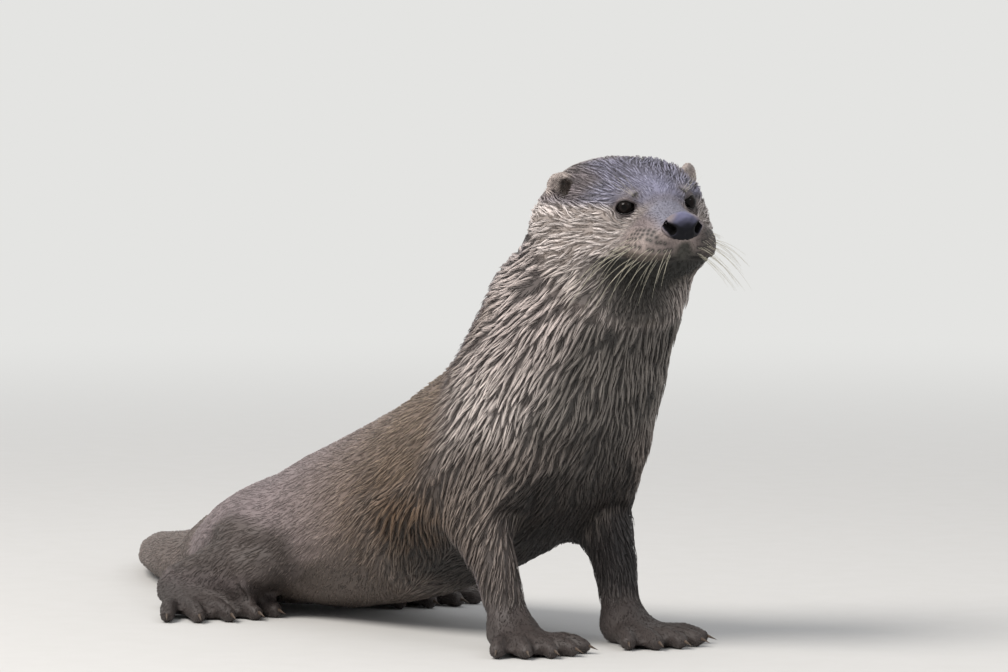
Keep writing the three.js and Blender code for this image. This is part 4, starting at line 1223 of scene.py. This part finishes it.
floor_material, tree, shader = new_material("pale_floor", Roughness=0.85)
floor_colour, _ = mottled(tree, 0.025, "#cfcecb", "#d4d3d1")
tree.links.new(floor_colour, shader.inputs["Base Color"])
where = add(tree, "ShaderNodeTexCoord")
haze = add(tree, "ShaderNodeEmission", values={"Color": linear(BACKDROP), "Strength": 1.0})
off_middle = add(tree, "ShaderNodeVectorMath", {"operation": "LENGTH"},
                 links={0: where.outputs["Object"]})
far_off = add(tree, "ShaderNodeMapRange", {"interpolation_type": "SMOOTHSTEP"},
              {"From Min": FADE_FROM, "From Max": FADE_TO}, {"Value": off_middle.outputs["Value"]})
fade = add(tree, "ShaderNodeMath", {"operation": "MULTIPLY"},
           links={0: far_off.outputs[0], 1: seen_by_eye(tree)})
covered = add(tree, "ShaderNodeMixShader",
              links={0: fade.outputs[0], 1: shader.outputs[0], 2: haze.outputs[0]})
tree.links.new(covered.outputs[0], tree.nodes["Material Output"].inputs["Surface"])
floor_corners = np.array([[-1, -1, 0], [1, -1, 0], [1, 1, 0], [-1, 1, 0]]) * FLOOR
floor_mesh = mesh_from("floor", floor_corners, np.array([[0, 1, 2, 3]]))
floor_mesh.materials.append(floor_material)
floor = into_scene("floor", floor_mesh)

world = bpy.data.worlds.new("studio")
bpy.context.scene.world = world
world.use_nodes = True
sky = world.node_tree
sky.nodes.clear()
sky_light = add(sky, "ShaderNodeBackground", values={"Color": linear("#f2f4f8"), "Strength": SKY_STRENGTH})
sky_seen = add(sky, "ShaderNodeBackground", values={"Color": linear(BACKDROP), "Strength": 1.0})
either = add(sky, "ShaderNodeMixShader",
             links={0: seen_by_eye(sky), 1: sky_light.outputs[0], 2: sky_seen.outputs[0]})
add(sky, "ShaderNodeOutputWorld", links={0: either.outputs[0]})

low, high = cad_box
body_middle = (low + high) / 2


def soft_lamp(name, azimuth, elevation, distance, size, watts, colour):
    """A round lamp that faces the animal, from degrees round from the front and up, and metres away."""
    lamp = bpy.data.lights.new(name, "AREA")
    lamp.shape = "DISK"
    lamp.size = size
    lamp.energy = watts
    lamp.color = linear(colour)[:3]
    a, e = math.radians(azimuth), math.radians(elevation)
    away = Vector((math.sin(a) * math.cos(e), -math.cos(a) * math.cos(e), math.sin(e)))
    thing = into_scene(name, lamp)
    thing.location = body_middle + away * distance
    thing.rotation_euler = away.to_track_quat("Z", "Y").to_euler()


soft_lamp("window", azimuth=12, elevation=48, distance=4.0, size=2.1, watts=156, colour="#fffaf4")
soft_lamp("fill", azimuth=100, elevation=38, distance=3.0, size=0.5, watts=4, colour="#f4f7ff")

# The camera stands a little above the floor, off the animal's right front, and looks at the neck
# through a long lens. AIM_SHARE is where it aims, as shares of the animal's box.
LENS, SENSOR = 251.8, 36
VIEW_AZIMUTH, VIEW_ELEVATION, VIEW_DISTANCE = math.radians(56), math.radians(3.7), 4.7
AIM_SHARE = (0.7812, 0.3787, 0.6253)
camera_data = bpy.data.cameras.new("camera")
camera_data.sensor_width = SENSOR
camera_data.lens = LENS
camera = into_scene("camera", camera_data)
bpy.context.scene.camera = camera
aim = Vector([a + (b - a) * share for a, b, share in zip(low, high, AIM_SHARE)])
back = Vector((
    math.sin(VIEW_AZIMUTH) * math.cos(VIEW_ELEVATION),
    -math.cos(VIEW_AZIMUTH) * math.cos(VIEW_ELEVATION),
    math.sin(VIEW_ELEVATION),
))
camera.location = aim + back * VIEW_DISTANCE
camera.rotation_euler = back.to_track_quat("Z", "Y").to_euler()
camera_data.clip_end = 100

bpy.context.scene.view_settings.view_transform = "Standard"
